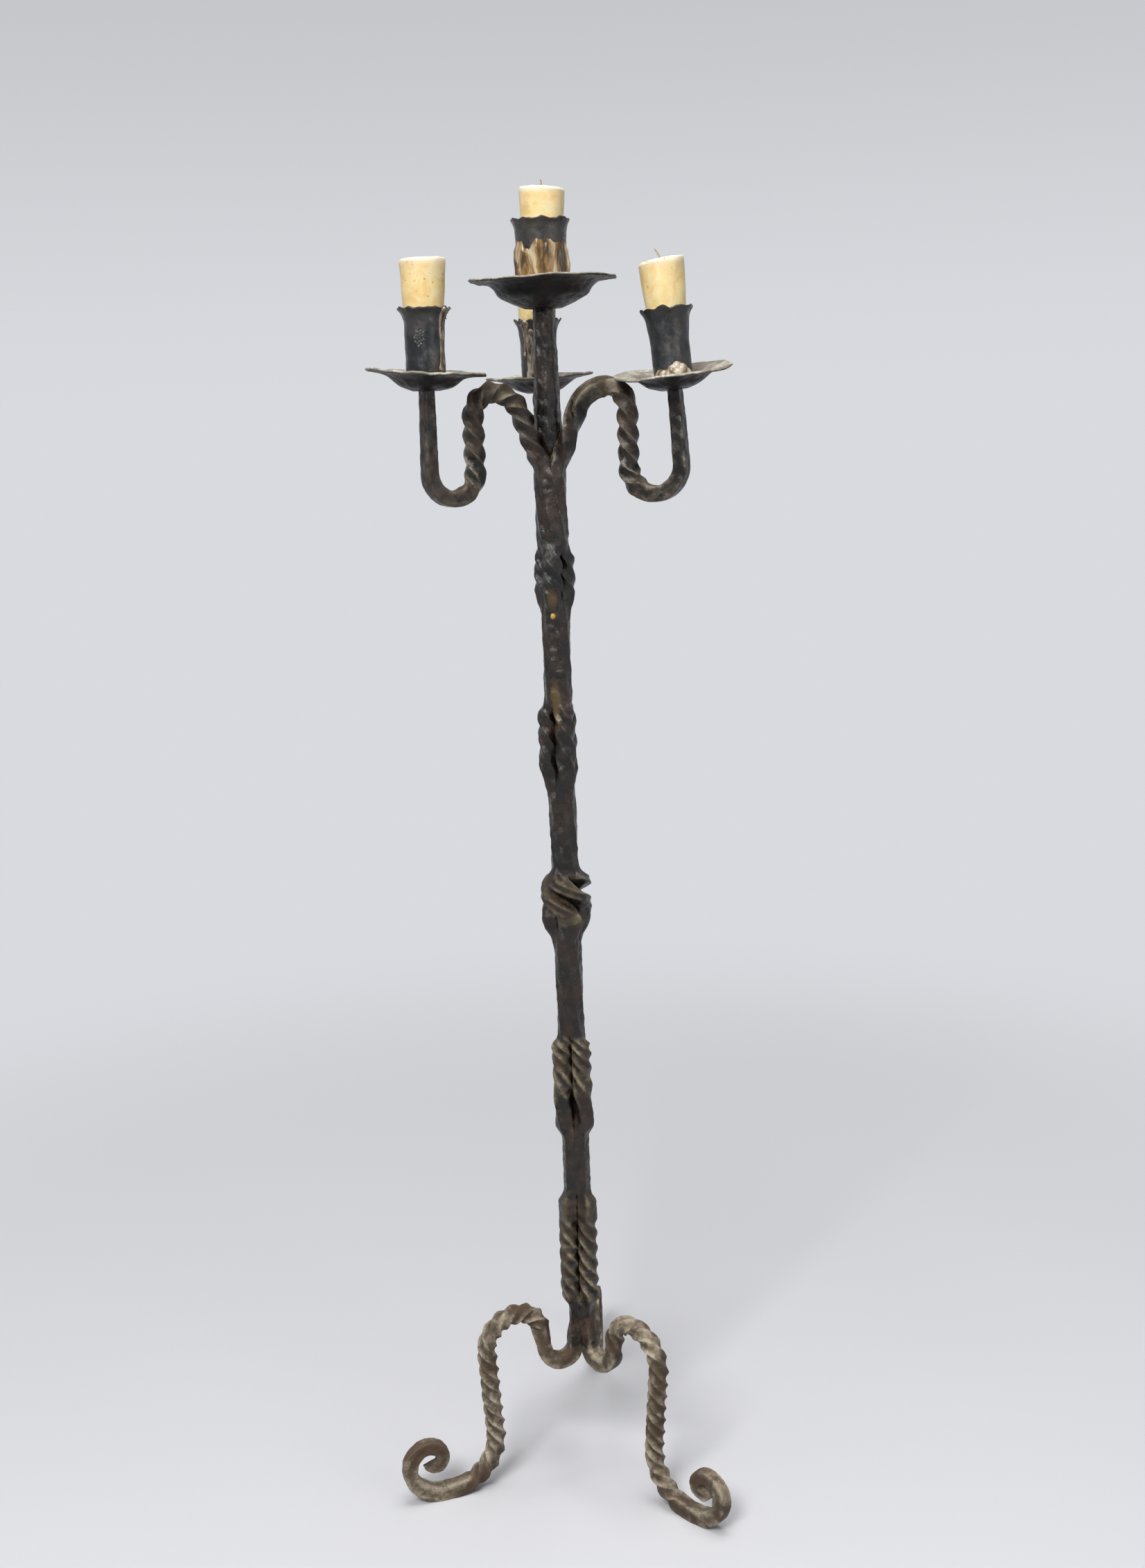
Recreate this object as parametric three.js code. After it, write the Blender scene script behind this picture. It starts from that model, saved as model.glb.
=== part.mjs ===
// Torchere candle stand, forged from square bar. Millimetres, +Z up, floor at z = 0.
// Three bars run from scroll feet up the stem to three candle arms; a fourth, heavier post
// rises from the fork of the arms and carries the large centre pan.
import * as THREE from 'three';

// Where the stem stands, from the middle of the footprint
const stemX = 14.5;
const stemY = -80;

// Bar stock and fits
const barSide = 16.5; // square bar of arms, stem and legs
const cornerShare = 0.96; // hammered corners, as a share of sharp ones
const seam = 0.3; // gap left between pieces that touch
const weldRadius = 14.8; // welded stem
const collarRadius = 16.6; // welded stem round the tang
const weldBar = 10; // stem axis to the middle of a welded bar
const sectionTurn = 40; // most twist between two sections, degrees
const bendTurn = 18; // most bend between two sections, degrees

// Directions on the plan, degrees from +X
const footAzimuth = 317;
const thirdTurn = 120;

// Legs, from the stem down; each drop is as long as it takes to reach the floor
const legTop = 197; // where the legs meet the stem
const legNeck = 36;
const crotchBend = 18;
const crotchTurn = 170;
const archInner = 25;
const archOuter = 39;
const footFlat = 8;
const footWear = 0.4; // worn off under the feet
const scrollShrink = 0.66; // radius kept after each quarter turn of the scroll
const scrollTurn = 430;
const scrollTip = 8; // bar thickness at the scroll's tip
const scrollTipWide = 13;
const legTwist = 450;

// How each leg differs: rise from crotch to arch, lean of its drop towards the stem in degrees,
// radius of its sweep and scroll, and degrees its plane is turned from its bar in the stem
const legs = {
  right: { rise: 27, lean: 5.5, sweep: 54, scroll: 39, askew: 0 },
  back: { rise: 27, lean: -32, sweep: 56, scroll: 48, askew: 10 },
  left: { rise: 33, lean: 3.3, sweep: 57, scroll: 44, askew: 0 },
};

// Stem, from the feet up: welded stretches and stretches opened into separate bars.
// part is each one's part of the stem's length, by proportion; sway turns the whole bundle and
// twist turns each bar on itself, in degrees; from and to bound the twist, or the knot's sway,
// as shares of the stretch from its top; closing is the length over which the bars close at
// its foot; spread holds them wider apart
const stemLength = 954;
const stretches = [
  { part: 5, sway: 0 },
  { part: 155, sway: 7, twist: 450, from: 0.14, to: 0.98, relax: 1 },
  { part: 54, sway: -1 },
  { part: 133, sway: 0, twist: 540, from: 0.06, to: 0.85, relax: 1.5, spread: 1.5 },
  { part: 85, sway: -43 },
  { part: 106, sway: -185, from: 0.05, to: 0.75, closing: 42, knot: true },
  { part: 62, sway: -39 },
  { part: 122, sway: 0, twist: 450, from: 0.1, to: 0.95, relax: 1.5, closing: 38, spread: 2 },
  { part: 75, sway: -34 },
  { part: 90, sway: 0, twist: 180, from: 0.25, to: 0.75, relax: 1, closing: 38 },
  { part: 67, sway: -48.6 },
];
const lead = 20; // length over which bars part at the top of a stretch, and mostly close
const knotSpread = 18.5; // bar middles from the axis inside the knot
const knotWidth = 1.6; // width of a bar across the axis there, as a share of its depth

// Arms, from the stem up and out
const armStart = 11.2;
const splayBend = 60;
const splayTurn = 22;
const crownInner = 36;
const crownOuter = 24;
const riserSide = 12.5;
const armTwist = 450;

// How each arm differs: its run up from the fork and its drop, radius and turn of its hook,
// length of its riser and how far the riser bends on towards the stem, in degrees
const arms = {
  right: { splay: 48, drop: 56, hookBend: 29, hookTurn: 183, riser: 72, riserTurn: 2.4 },
  back: { splay: 46, drop: 54, hookBend: 29, hookTurn: 182, riser: 77, riserTurn: 0 },
  left: { splay: 46, drop: 54, hookBend: 26.5, hookTurn: 181, riser: 80, riserTurn: 0 },
};

// Centre post
const tangRadius = 5;
const tangLength = 74; // below the fork
const postRadius = 14.6;
const postNeck = 11.2;
const postLength = 170; // fork to centre pan

// Tenon that clamps pan and cup
const tenonRadius = 4;
const headRadius = 7;
const headHeight = 2.5;
const sheet = 1.6; // wall of pans and cups

// Pans, cups and candles. A pan's underside is given as [r, z] from its flat foot to its rim
const panSizes = {
  small: [[14, 0], [26, 4], [38, 12.5], [58.5, 16.5]],
  large: [[20, 0], [35, 6.4], [46, 12.4], [50.6, 19.3], [56.6, 24.3], [74.5, 27.3]],
};
const panSteps = 22;
const cupSizes = {
  small: { rim: 26.2, waist: 19.5, foot: 13, belly: 14, height: 76, flare: 28, ruffles: 10, steps: 20 },
  large: { rim: 30, waist: 25.5, foot: 18, belly: 18, height: 84, flare: 26, ruffles: 8, steps: 24 },
};
const candleSizes = {
  small: { top: 23, mouth: 20, bottom: 17.2, rise: 48 },
  large: { top: 23.5, mouth: 22, bottom: 21.5, rise: 31 },
};
const ruffle = 1.3;
const rimWave = 0.9;
const floorInset = 0.7; // cup's floor inside its foot
const bellyInset = 0.6; // height by which the wall inside a cup starts above its belly
const lipRise = 0.3; // inner edge of a cup's rim above the outer one
const candleSwell = 0.4; // candle's side out from its foot, inside the cup
const candleEdge = [2.5, 2]; // worn edge of a candle's top, inwards and down
const meltDepth = 1.2;
const wickRadius = 1.2;
const wickDepth = 6;

// How each head differs: droop of the pan, slant of the candle's top and lean of the candle
// in degrees, the plan direction of each, and the wick's length out of the wax and its lean
const heads = {
  left: { droop: 4.8, droopTo: 0, slant: 2, slantTo: 180, wick: 2.5, wickLean: 0.5 },
  right: { droop: 7, droopTo: 270, slant: 4.5, slantTo: 180, wick: 15, wickLean: -5 },
  back: { droop: 2, droopTo: 180, slant: 1, slantTo: 0, wick: 8, wickLean: 1.5 },
  centre: { droop: 0, droopTo: 0, slant: 3, slantTo: 0, lean: 1.5, wick: 11, wickLean: -1 },
};

// Wax set on the cups. Rows run from the foot up: height in the head, and how thick it stands
const waxRuns = {
  left: { towards: 326, spread: 26, rows: [[19, 0.6], [25, 1.8], [36, 1.4], [47, 0.9]] },
  back: { towards: 60, spread: 22, rows: [[22, 0.6], [28, 1.7], [39, 1.3], [48, 0.8]] },
  right: { towards: 270, spread: 130, rows: [[5, 8], [8, 8.5], [13, 6], [16, 2.5]] },
};
const waxCoat = { from: 24, to: 56, thick: 2.2, wave: 3 };
const waxEnd = 0.2; // thickness of a run at its edges, as a share of its middle

const looks = {
  stemIron: { color: 0x2b2622, roughness: 0.5, metalness: 0.75 },
  armIron: { color: 0x4a433b, roughness: 0.6, metalness: 0.65 },
  legIron: { color: 0x6b6154, roughness: 0.62, metalness: 0.6 },
  panIron: { color: 0x2f2c2b, roughness: 0.55, metalness: 0.7 },
  cupIron: { color: 0x262a2c, roughness: 0.42, metalness: 0.75 },
  tallow: { color: 0xf1dfb0, roughness: 0.55, metalness: 0 },
  cotton: { color: 0xcdb892, roughness: 0.95, metalness: 0 },
  dripWax: { color: 0xb98a3c, roughness: 0.4, metalness: 0 },
};

const radians = (degrees) => (degrees * Math.PI) / 180;
const mix = (a, b, share) => a + (b - a) * share;
const between01 = (t) => Math.min(1, Math.max(0, t));
const ease = (t) => t * t * (3 - 2 * t);
const half = barSide / 2;

const stand = new THREE.Group();
stand.position.set(stemX, stemY, 0);

function addPiece(name, geometry, look, frame) {
  if (frame) geometry.applyMatrix4(frame);
  const mesh = new THREE.Mesh(geometry, new THREE.MeshStandardMaterial(looks[look]));
  mesh.name = name;
  stand.add(mesh);
}

function indexed(points, faces) {
  const geometry = new THREE.BufferGeometry();
  geometry.setAttribute('position', new THREE.Float32BufferAttribute(points.flat(), 3));
  geometry.setIndex(faces.flat());
  geometry.computeVertexNormals();
  return geometry;
}

// Skin over rings of points that run counter-clockwise round the direction of travel;
// mirrored says for ring i and side j which diagonal splits the quad
function loft(rings, mirrored = () => false) {
  const sides = rings[0].length;
  const faces = [];
  for (let i = 0; i + 1 < rings.length; i++) {
    for (let j = 0; j < sides; j++) {
      const a = i * sides + j;
      const b = i * sides + ((j + 1) % sides);
      const c = b + sides;
      const d = a + sides;
      if (mirrored(i, j)) faces.push([a, b, d], [b, c, d]);
      else faces.push([a, b, c], [a, c, d]);
    }
  }
  const last = (rings.length - 1) * sides;
  for (let j = 1; j + 1 < sides; j++) {
    faces.push([0, j + 1, j], [last, last + j, last + j + 1]);
  }
  return indexed(rings.flat().map((point) => point.toArray()), faces);
}

// Shell turned round the axis from a closed profile of [r, z] points, or a solid from a
// profile that starts and ends on the axis
function turned(profile, steps, warp = (r, z) => [r, z]) {
  const onAxis = profile[0][0] === 0;
  const wall = onAxis ? profile.slice(1, -1) : profile;
  const points = [];
  for (const [r, z] of wall) {
    for (let k = 0; k < steps; k++) {
      const angle = (k / steps) * 2 * Math.PI;
      const [warpedR, warpedZ] = warp(r, z, angle);
      points.push([warpedR * Math.cos(angle), warpedR * Math.sin(angle), warpedZ]);
    }
  }
  const faces = [];
  const rows = onAxis ? wall.length - 1 : wall.length;
  for (let i = 0; i < rows; i++) {
    const next = (i + 1) % wall.length;
    for (let k = 0; k < steps; k++) {
      const right = (k + 1) % steps;
      const [a, b] = [i * steps + k, i * steps + right];
      const [c, d] = [next * steps + right, next * steps + k];
      faces.push([a, b, c], [a, c, d]);
    }
  }
  if (onAxis) {
    const bottom = points.push([0, 0, profile[0][1]]) - 1;
    const top = points.push([0, 0, profile.at(-1)[1]]) - 1;
    const last = (wall.length - 1) * steps;
    for (let k = 0; k < steps; k++) {
      const right = (k + 1) % steps;
      faces.push([bottom, right, k], [top, last + k, last + right]);
    }
  }
  return indexed(points, faces);
}

// Distance from a bar's middle to its surface; deep along its first axis, wide across it
function barReach(angle, deep, wide) {
  const corner = Math.hypot(deep, wide) * cornerShare;
  return Math.min(deep / Math.abs(Math.cos(angle)), wide / Math.abs(Math.sin(angle)), corner);
}

// Distance to the round outside of the welded stem, from a point off its axis
function roundReach(angle, off, radius) {
  const chord = Math.max(0, radius ** 2 - (off * Math.sin(angle)) ** 2);
  return Math.sqrt(chord) - off * Math.cos(angle);
}

// Distance to the planes that part a bar from its neighbours, and to the tang's hole between
// them; lean is how far the section's first axis points away from the stem
function shareReach(angle, off, lean, core) {
  const share = radians(thirdTurn / 2);
  const closing = Math.cos(share) * Math.abs(Math.sin(angle)) - Math.sin(share) * lean * Math.cos(angle);
  const reach = closing > 1e-6 ? (off * Math.sin(share) - seam / 2) / closing : Infinity;
  const across = core ** 2 - (off * Math.sin(angle)) ** 2;
  if (Math.cos(angle) > 0 || across <= 0) return reach;
  return Math.min(reach, -off * Math.cos(angle) - Math.sqrt(across));
}

// Eight points [u, v] of a bar's section, turned by its twist
function section({ off, lean = 1, twist = 0, aim = twist, open = 1, deep, wide, round, core = 0 }) {
  return Array.from({ length: 8 }, (_, j) => {
    const angle = radians(twist + j * 45);
    let reach = barReach(angle - radians(aim), deep, wide);
    if (open < 1) reach = mix(roundReach(angle, off, round), reach, open);
    reach = Math.min(reach, shareReach(angle, off, lean, core));
    return [reach * Math.cos(angle), reach * Math.sin(angle)];
  });
}

function radial(azimuth) {
  return new THREE.Vector3(Math.cos(radians(azimuth)), Math.sin(radians(azimuth)), 0);
}

// Stations along a bar that bends in one upright plane. A move is a run, with or without a
// turn on the way, or a bend of some radius through a turn; it has the twist it takes and the
// bar's size at its end
function walk(start, moves) {
  let station = { ...start };
  const stations = [station];
  for (const { run = 0, bend = 0, turn = 0, shrink = 1, twist = 0, deep, wide } of moves) {
    const steps = Math.ceil(Math.max(Math.abs(turn) / bendTurn, Math.abs(twist) / sectionTurn, 1));
    const first = station;
    for (let i = 1; i <= steps; i++) {
      const next = { ...station };
      const slope = radians(station.heading);
      next.heading = first.heading + (turn * i) / steps;
      if (turn) {
        const kept = shrink ** ((Math.abs(turn) / 90) * ((i - 0.5) / steps));
        const radius = bend ? bend * Math.sign(turn) * kept : run / radians(turn);
        next.r += radius * (Math.sin(radians(next.heading)) - Math.sin(slope));
        next.z -= radius * (Math.cos(radians(next.heading)) - Math.cos(slope));
      } else {
        next.r += (run / steps) * Math.cos(slope);
        next.z += (run / steps) * Math.sin(slope);
      }
      next.twist = first.twist - (twist * i) / steps;
      next.deep = mix(first.deep, deep ?? first.deep, i / steps);
      next.wide = mix(first.wide, wide ?? first.wide, i / steps);
      next.along = station.along + Math.hypot(next.r - station.r, next.z - station.z);
      station = next;
      stations.push(station);
    }
  }
  return stations;
}

// Ring of points of a walked bar that sets off at r from the axis. side is 1 where it sets off
// upwards, -1 downwards; askew turns its plane once it is clear of the weld
function walkedRing(station, azimuth, side, weld, r, askew = 0) {
  const slope = radians(station.heading);
  const swing = askew * ease(between01(station.along / weld.length - 1));
  const outward = radial(azimuth + swing);
  const first = outward.clone().multiplyScalar(side * Math.sin(slope));
  first.z = -side * Math.cos(slope);
  const second = radial(azimuth + swing + 90).multiplyScalar(side);
  const middle = radial(azimuth).multiplyScalar(r).addScaledVector(outward, station.r - r);
  middle.z = station.z;
  const open = ease(between01(station.along / weld.length));
  const lean = side * Math.sin(slope);
  const shape = section({ ...station, ...weld, off: station.r, lean, open });
  return shape.map(([u, v]) => middle.clone().addScaledVector(first, u).addScaledVector(second, v));
}

// Legs ---------------------------------------------------------------------------------------

const bar = { along: 0, twist: 0, deep: half, wide: half };

function legPath({ rise, lean, sweep, scroll }, drop) {
  return walk({ ...bar, r: weldBar, z: legTop, heading: -90 }, [
    { run: legNeck },
    { bend: crotchBend, turn: crotchTurn },
    { run: rise },
    { bend: archInner, turn: 90 - crotchTurn },
    { bend: archOuter, turn: -90 - lean, twist: legTwist * 0.2 },
    { run: drop, twist: legTwist * 0.8 },
    { bend: sweep, turn: 90 + lean },
    { run: footFlat },
    {
      bend: scroll, turn: scrollTurn, shrink: scrollShrink,
      deep: scrollTip / 2, wide: scrollTipWide / 2,
    },
  ]);
}

function makeLeg(side, azimuth) {
  const leg = legs[side];
  const level = legPath(leg, 0).filter(({ heading }) => Math.abs(heading) < 1);
  const missing = Math.min(...level.map(({ z }) => z)) - half + footWear;
  const path = legPath(leg, missing / Math.cos(radians(leg.lean)));
  const weld = { length: legNeck, round: weldRadius };
  const rings = path.map((station) => walkedRing(station, azimuth, -1, weld, weldBar, leg.askew));
  for (const point of rings.flat()) point.setZ(Math.max(point.z, 0));
  addPiece(`leg_${side}`, loft(rings), 'legIron');
}

// Stem ---------------------------------------------------------------------------------------

const stemTop = legTop + stemLength;
const stemParts = stretches.reduce((sum, { part }) => sum + part, 0);
for (const stretch of stretches) stretch.length = (stemLength * stretch.part) / stemParts;
const stemSway = stretches.reduce((sum, { sway }) => sum + sway, 0);
const collarBase = stemTop - stretches.at(-1).length;
const partSpread = (half * Math.SQRT2 * cornerShare + seam) / Math.sin(radians(thirdTurn / 2));

// Share of a stretch's twist that lies above a height, given as a share from its foot
function twistAbove({ from, to, relax }, share) {
  return 1 - (1 - between01((1 - share - from) / (to - from))) ** relax;
}

// Share of a stretch's sway that lies below a height, given as a share from its foot
function swayBelow({ knot, from, to }, share) {
  return knot ? ease(between01((share - 1 + to) / (to - from))) : share;
}

function stemStation(stretch, share, foot) {
  const { length, sway, twist = 0, knot = false, closing = lead, spread = 0 } = stretch;
  const height = foot.z + share * length;
  const parted = Math.min((share * length) / closing, ((1 - share) * length) / lead);
  const open = twist || knot ? ease(between01(parted)) : 0;
  const collar = between01(1 - (collarBase - height) / (lead * 2));
  const core = height > stemTop - tangLength - lead / 2 ? tangRadius + seam : 0;
  const turn = foot.twist - (twist ? twist * (1 - twistAbove(stretch, share)) : 0);
  return {
    z: height, open, core, twist: turn, aim: knot ? 0 : turn,
    azimuth: foot.azimuth + sway * swayBelow(stretch, share),
    off: mix(mix(weldBar, armStart, collar), knot ? knotSpread : partSpread + spread, open),
    round: mix(weldRadius, collarRadius, collar),
    deep: half, wide: half * (knot ? mix(1, knotWidth, open) : 1),
  };
}

// Sections lie closer where the bars twist or the bundle sways faster
function stretchShares(stretch) {
  const { length, sway, twist = 0, knot = false } = stretch;
  const widest = twist || knot ? 10 : 20;
  const fine = 200;
  const work = [0];
  for (let i = 1; i <= fine; i++) {
    const [low, high] = [(i - 1) / fine, i / fine];
    const wound = twist ? twist * (twistAbove(stretch, low) - twistAbove(stretch, high)) : 0;
    const swayed = Math.abs(sway) * (swayBelow(stretch, high) - swayBelow(stretch, low)) * 1.6;
    const steps = Math.max((wound + swayed) / sectionTurn, length / fine / widest);
    work.push(work[i - 1] + steps);
  }
  const count = Math.ceil(work[fine]);
  return Array.from({ length: count }, (_, n) => {
    const wanted = (work[fine] * (n + 1)) / count;
    return n + 1 === count ? 1 : work.findIndex((done) => done >= wanted) / fine;
  });
}

function stemStations() {
  const foot = { z: legTop + seam, azimuth: 0, twist: 0 };
  const stations = [stemStation(stretches[0], 0, foot)];
  for (const stretch of stretches) {
    for (const share of stretchShares(stretch)) stations.push(stemStation(stretch, share, foot));
    foot.z += stretch.length;
    foot.azimuth += stretch.sway;
    foot.twist -= stretch.twist ?? 0;
  }
  return stations;
}

function makeStemBar(side, azimuth) {
  const stations = stemStations();
  const rings = stations.map((station) => {
    const outward = radial(azimuth + station.azimuth);
    const across = radial(azimuth + station.azimuth + 90);
    const middle = outward.clone().multiplyScalar(station.off).setZ(station.z);
    return section(station).map(([u, v]) =>
      middle.clone().addScaledVector(outward, u).addScaledVector(across, v));
  });
  const mirrored = (i, j) => Math.sin(radians(stations[i].twist + (j + 0.5) * 45)) < 0;
  addPiece(`stem_bar_${side}`, loft(rings, mirrored), 'stemIron');
}

// Heads: pan, cup, candle --------------------------------------------------------------------

const cupBase = seam * 2 + sheet; // cup floor's underside, from the bar's shoulder
const clampHeight = cupBase + sheet + seam;
const holeRadius = tenonRadius + seam;
const tenonRings = [
  [0, tenonRadius],
  [clampHeight, tenonRadius],
  [clampHeight, headRadius],
  [clampHeight + headHeight, headRadius * 0.8],
];

// Upper side of a sheet whose underside is given from its middle to its rim
function upperSide(under) {
  return under.map(([r, z], i) => {
    const [innerR, innerZ] = under[Math.max(0, i - 1)];
    const [outerR, outerZ] = under[Math.min(under.length - 1, i + 1)];
    const slope = Math.atan2(outerZ - innerZ, outerR - innerR);
    return [r - sheet * Math.sin(slope), z + sheet * Math.cos(slope)];
  });
}

function makePan(name, size, head, azimuth, frame) {
  const under = [[holeRadius, 0], ...panSizes[size]];
  const [[foot], [rim]] = [panSizes[size][0], under.at(-1)];
  const profile = [...under, ...upperSide(under).reverse()];
  const warp = (r, z, angle) => {
    const toRim = Math.max(0, r - foot) / (rim - foot);
    const droop = Math.tan(radians(head.droop)) * (rim - foot) * toRim;
    const wave = rimWave * toRim ** 3 * (Math.sin(3 * angle + azimuth) + Math.sin(7 * angle));
    return [r, z + seam - droop * Math.cos(angle - radians(head.droopTo - azimuth)) + wave];
  };
  addPiece(name, turned(profile, panSteps, warp), 'panIron', frame);
}

function makeCup(name, size, frame) {
  const { rim, waist, foot, belly, height, flare, ruffles, steps } = cupSizes[size];
  const flaring = mix(waist, rim, 0.26);
  const profile = [
    [holeRadius, 0], [foot, 0], [waist, belly], [waist, height - flare],
    [flaring, height - flare / 2], [rim, height], [rim - sheet, height + lipRise],
    [flaring - sheet, height - flare / 2], [waist - sheet, height - flare],
    [waist - sheet, belly + bellyInset], [foot - floorInset, sheet], [holeRadius, sheet],
  ];
  const warp = (r, z, angle) => {
    const edge = between01((z - height + flare / 2) / (flare / 2));
    const wave = ruffle * edge * Math.cos(ruffles * angle);
    return [r + wave / 2, z + cupBase + wave];
  };
  addPiece(name, turned(profile, steps, warp), 'cupIron', frame);
}

// Height in the head at which a candle's edge rests in the cup's rounded bottom
function candleSeat(size) {
  const { waist, foot, belly } = cupSizes[size];
  const floor = foot - floorInset;
  const share = (candleSizes[size].bottom + seam - floor) / (waist - sheet - floor);
  return cupBase + mix(sheet, belly + bellyInset, share);
}

function makeCandle(name, size, head, azimuth, frame) {
  const { height, flare, waist } = cupSizes[size];
  const { top, mouth, bottom, rise } = candleSizes[size];
  const wax = cupBase + height + rise;
  const well = wickRadius + seam;
  const seat = candleSeat(size);
  const neck = Math.min(waist - sheet - seam, bottom + candleSwell);
  const pool = wax - meltDepth;
  const profile = [
    [0, seat], [bottom, seat], [neck, cupBase + height - flare], [mouth, cupBase + height],
    [top, wax - candleEdge[1]], [top - candleEdge[0], wax], [top / 3, pool],
    [well, pool], [well, pool - wickDepth], [0, pool - wickDepth],
  ];
  const slantTo = radians(head.slantTo - azimuth);
  const warp = (r, z, angle) => {
    const slanted = z < pool ? 0 : Math.tan(radians(head.slant)) * r * Math.cos(angle - slantTo);
    return [r, z - slanted];
  };
  const lean = radians(head.lean ?? 0);
  const stood = frame.clone()
    .multiply(new THREE.Matrix4().makeTranslation(0, 0, seat + bottom * Math.sin(lean)))
    .multiply(new THREE.Matrix4().makeRotationY(lean))
    .multiply(new THREE.Matrix4().makeTranslation(0, 0, -seat));
  addPiece(`candle_${name}`, turned(profile, 16, warp), 'tallow', stood);

  const curve = new THREE.QuadraticBezierCurve3(
    new THREE.Vector3(0, 0, pool),
    new THREE.Vector3(0, 0, pool + head.wick * 0.6),
    new THREE.Vector3(head.wickLean, head.wickLean / 3, pool + head.wick),
  );
  const middles = [new THREE.Vector3(0, 0, pool - wickDepth + seam), ...curve.getPoints(4)];
  const rings = middles.map((middle) => Array.from({ length: 6 }, (_, k) =>
    radial(k * 60).multiplyScalar(wickRadius).add(middle)));
  addPiece(`wick_${name}`, loft(rings), 'cotton', stood);
}

// Outside of a small cup below its flare, at a height in the head
function cupSide(height) {
  const { waist, foot, belly } = cupSizes.small;
  return mix(foot, waist, between01((height - cupBase) / belly));
}

// Wax set on the side of a small cup, thinning towards both edges
function makeWaxRun(name, azimuth, frame) {
  const { towards, spread, rows } = waxRuns[name];
  const steps = Math.ceil(spread / bendTurn) + 2;
  const rings = Array.from({ length: steps + 1 }, (_, i) => {
    const around = radial(towards - azimuth + spread * (i / steps - 0.5));
    const swell = mix(waxEnd, 1, Math.sin((i / steps) * Math.PI));
    const at = (r, height) => around.clone().multiplyScalar(r).setZ(height);
    return [
      ...rows.map(([height]) => at(cupSide(height) + seam * 2, height)),
      ...rows.toReversed().map(([height, thick]) => at(cupSide(height) + seam * 2 + thick * swell, height)),
    ];
  });
  addPiece(`wax_run_${name}`, loft(rings), 'dripWax', frame);
}

// Wax all round the large cup, below its flare
function makeWaxCoat(frame) {
  const { waist, steps } = cupSizes.large;
  const { from, to, thick, wave } = waxCoat;
  const inner = waist + seam;
  const profile = [
    [inner, from], [inner + thick, from], [inner + thick * 0.8, mix(from, to, 0.5)],
    [inner + thick / 2, to], [inner, to],
  ];
  const warp = (r, z, angle) => {
    const edge = z > from && z < to ? 0 : wave * (Math.sin(3 * angle + 1) + Math.sin(5 * angle)) / 2;
    return [r + ((r - inner) * Math.sin(4 * angle)) / 4, z + edge];
  };
  addPiece('wax_coat_centre', turned(profile, steps, warp), 'dripWax', frame);
}

function makeHead(name, size, azimuth, frame) {
  makePan(`pan_${name}`, size, heads[name], azimuth, frame);
  makeCup(`cup_${name}`, size, frame);
  makeCandle(name, size, heads[name], azimuth, frame);
}

// Arms ---------------------------------------------------------------------------------------

const splayTop = { r: armStart + splayBend * (1 - Math.cos(radians(splayTurn))) };
splayTop.z = stemTop + splayBend * Math.sin(radians(splayTurn));
const crownTurn = 90 - splayTurn;

function armPath({ splay, drop, hookBend, hookTurn, riser, riserTurn }) {
  return walk({ ...bar, r: armStart, z: stemTop + seam * 2, heading: 90 }, [
    { bend: splayBend, turn: -splayTurn },
    { run: splay },
    { bend: crownInner, turn: -crownTurn },
    { bend: crownOuter, turn: -90, twist: armTwist * 0.3 },
    { run: drop, twist: armTwist * 0.5 },
    { bend: hookBend, turn: hookTurn * 0.3, twist: armTwist * 0.2 },
    { bend: hookBend, turn: hookTurn * 0.7, deep: half * 0.88, wide: half * 0.88 },
    { run: riser, turn: riserTurn, deep: riserSide / 2, wide: riserSide / 2 },
  ]);
}

function makeArm(side, azimuth) {
  const weld = { length: splayBend * radians(splayTurn), round: collarRadius, core: tangRadius + seam };
  const path = armPath(arms[side]);
  const rings = path.map((station) => walkedRing(station, azimuth, 1, weld, armStart));
  const end = path.at(-1);
  const slope = radians(end.heading);
  const outward = radial(azimuth).multiplyScalar(Math.sin(slope)).setZ(-Math.cos(slope));
  const axis = radial(azimuth).multiplyScalar(Math.cos(slope)).setZ(Math.sin(slope));
  const frame = new THREE.Matrix4().makeBasis(outward, radial(azimuth + 90), axis);
  frame.setPosition(radial(azimuth).multiplyScalar(end.r).setZ(end.z));
  for (const [height, radius] of tenonRings) {
    rings.push(Array.from({ length: 8 }, (_, j) =>
      radial(end.twist + j * 45).multiplyScalar(radius).setZ(height).applyMatrix4(frame)));
  }
  addPiece(`arm_${side}`, loft(rings), 'armIron');
  makeHead(side, 'small', azimuth, frame);
  makeWaxRun(side, azimuth, frame);
}

// Centre post --------------------------------------------------------------------------------

function makePost() {
  const slope = radians(90 - splayTurn);
  const reach = half / Math.sin(slope) + seam / Math.sin(slope);
  const foot = splayTop.r - reach;
  const shoulder = splayTop.z + (postRadius - foot) * Math.tan(slope);
  const top = stemTop + postLength;
  const bottom = stemTop - tangLength;
  const profile = [
    [0, bottom], [tangRadius * 0.7, bottom], [tangRadius, bottom + lead / 2],
    [tangRadius, splayTop.z - lead / 2], [Math.max(foot, tangRadius), splayTop.z],
    [postRadius, shoulder], [postNeck, top],
    ...tenonRings.map(([height, radius]) => [radius, top + height]),
    [0, top + clampHeight + headHeight],
  ];
  addPiece('centre_post', turned(profile, 8), 'stemIron');
  const frame = new THREE.Matrix4().makeTranslation(0, 0, top);
  makeHead('centre', 'large', 0, frame);
  makeWaxCoat(frame);
}

for (const [n, side] of ['right', 'back', 'left'].entries()) {
  const azimuth = footAzimuth + n * thirdTurn;
  makeLeg(side, azimuth);
  makeStemBar(side, azimuth);
  makeArm(side, azimuth + stemSway);
}
makePost();

export default stand;
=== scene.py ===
import math

import bmesh
import bpy
import numpy as np
from mathutils import Matrix, Vector, noise


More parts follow.
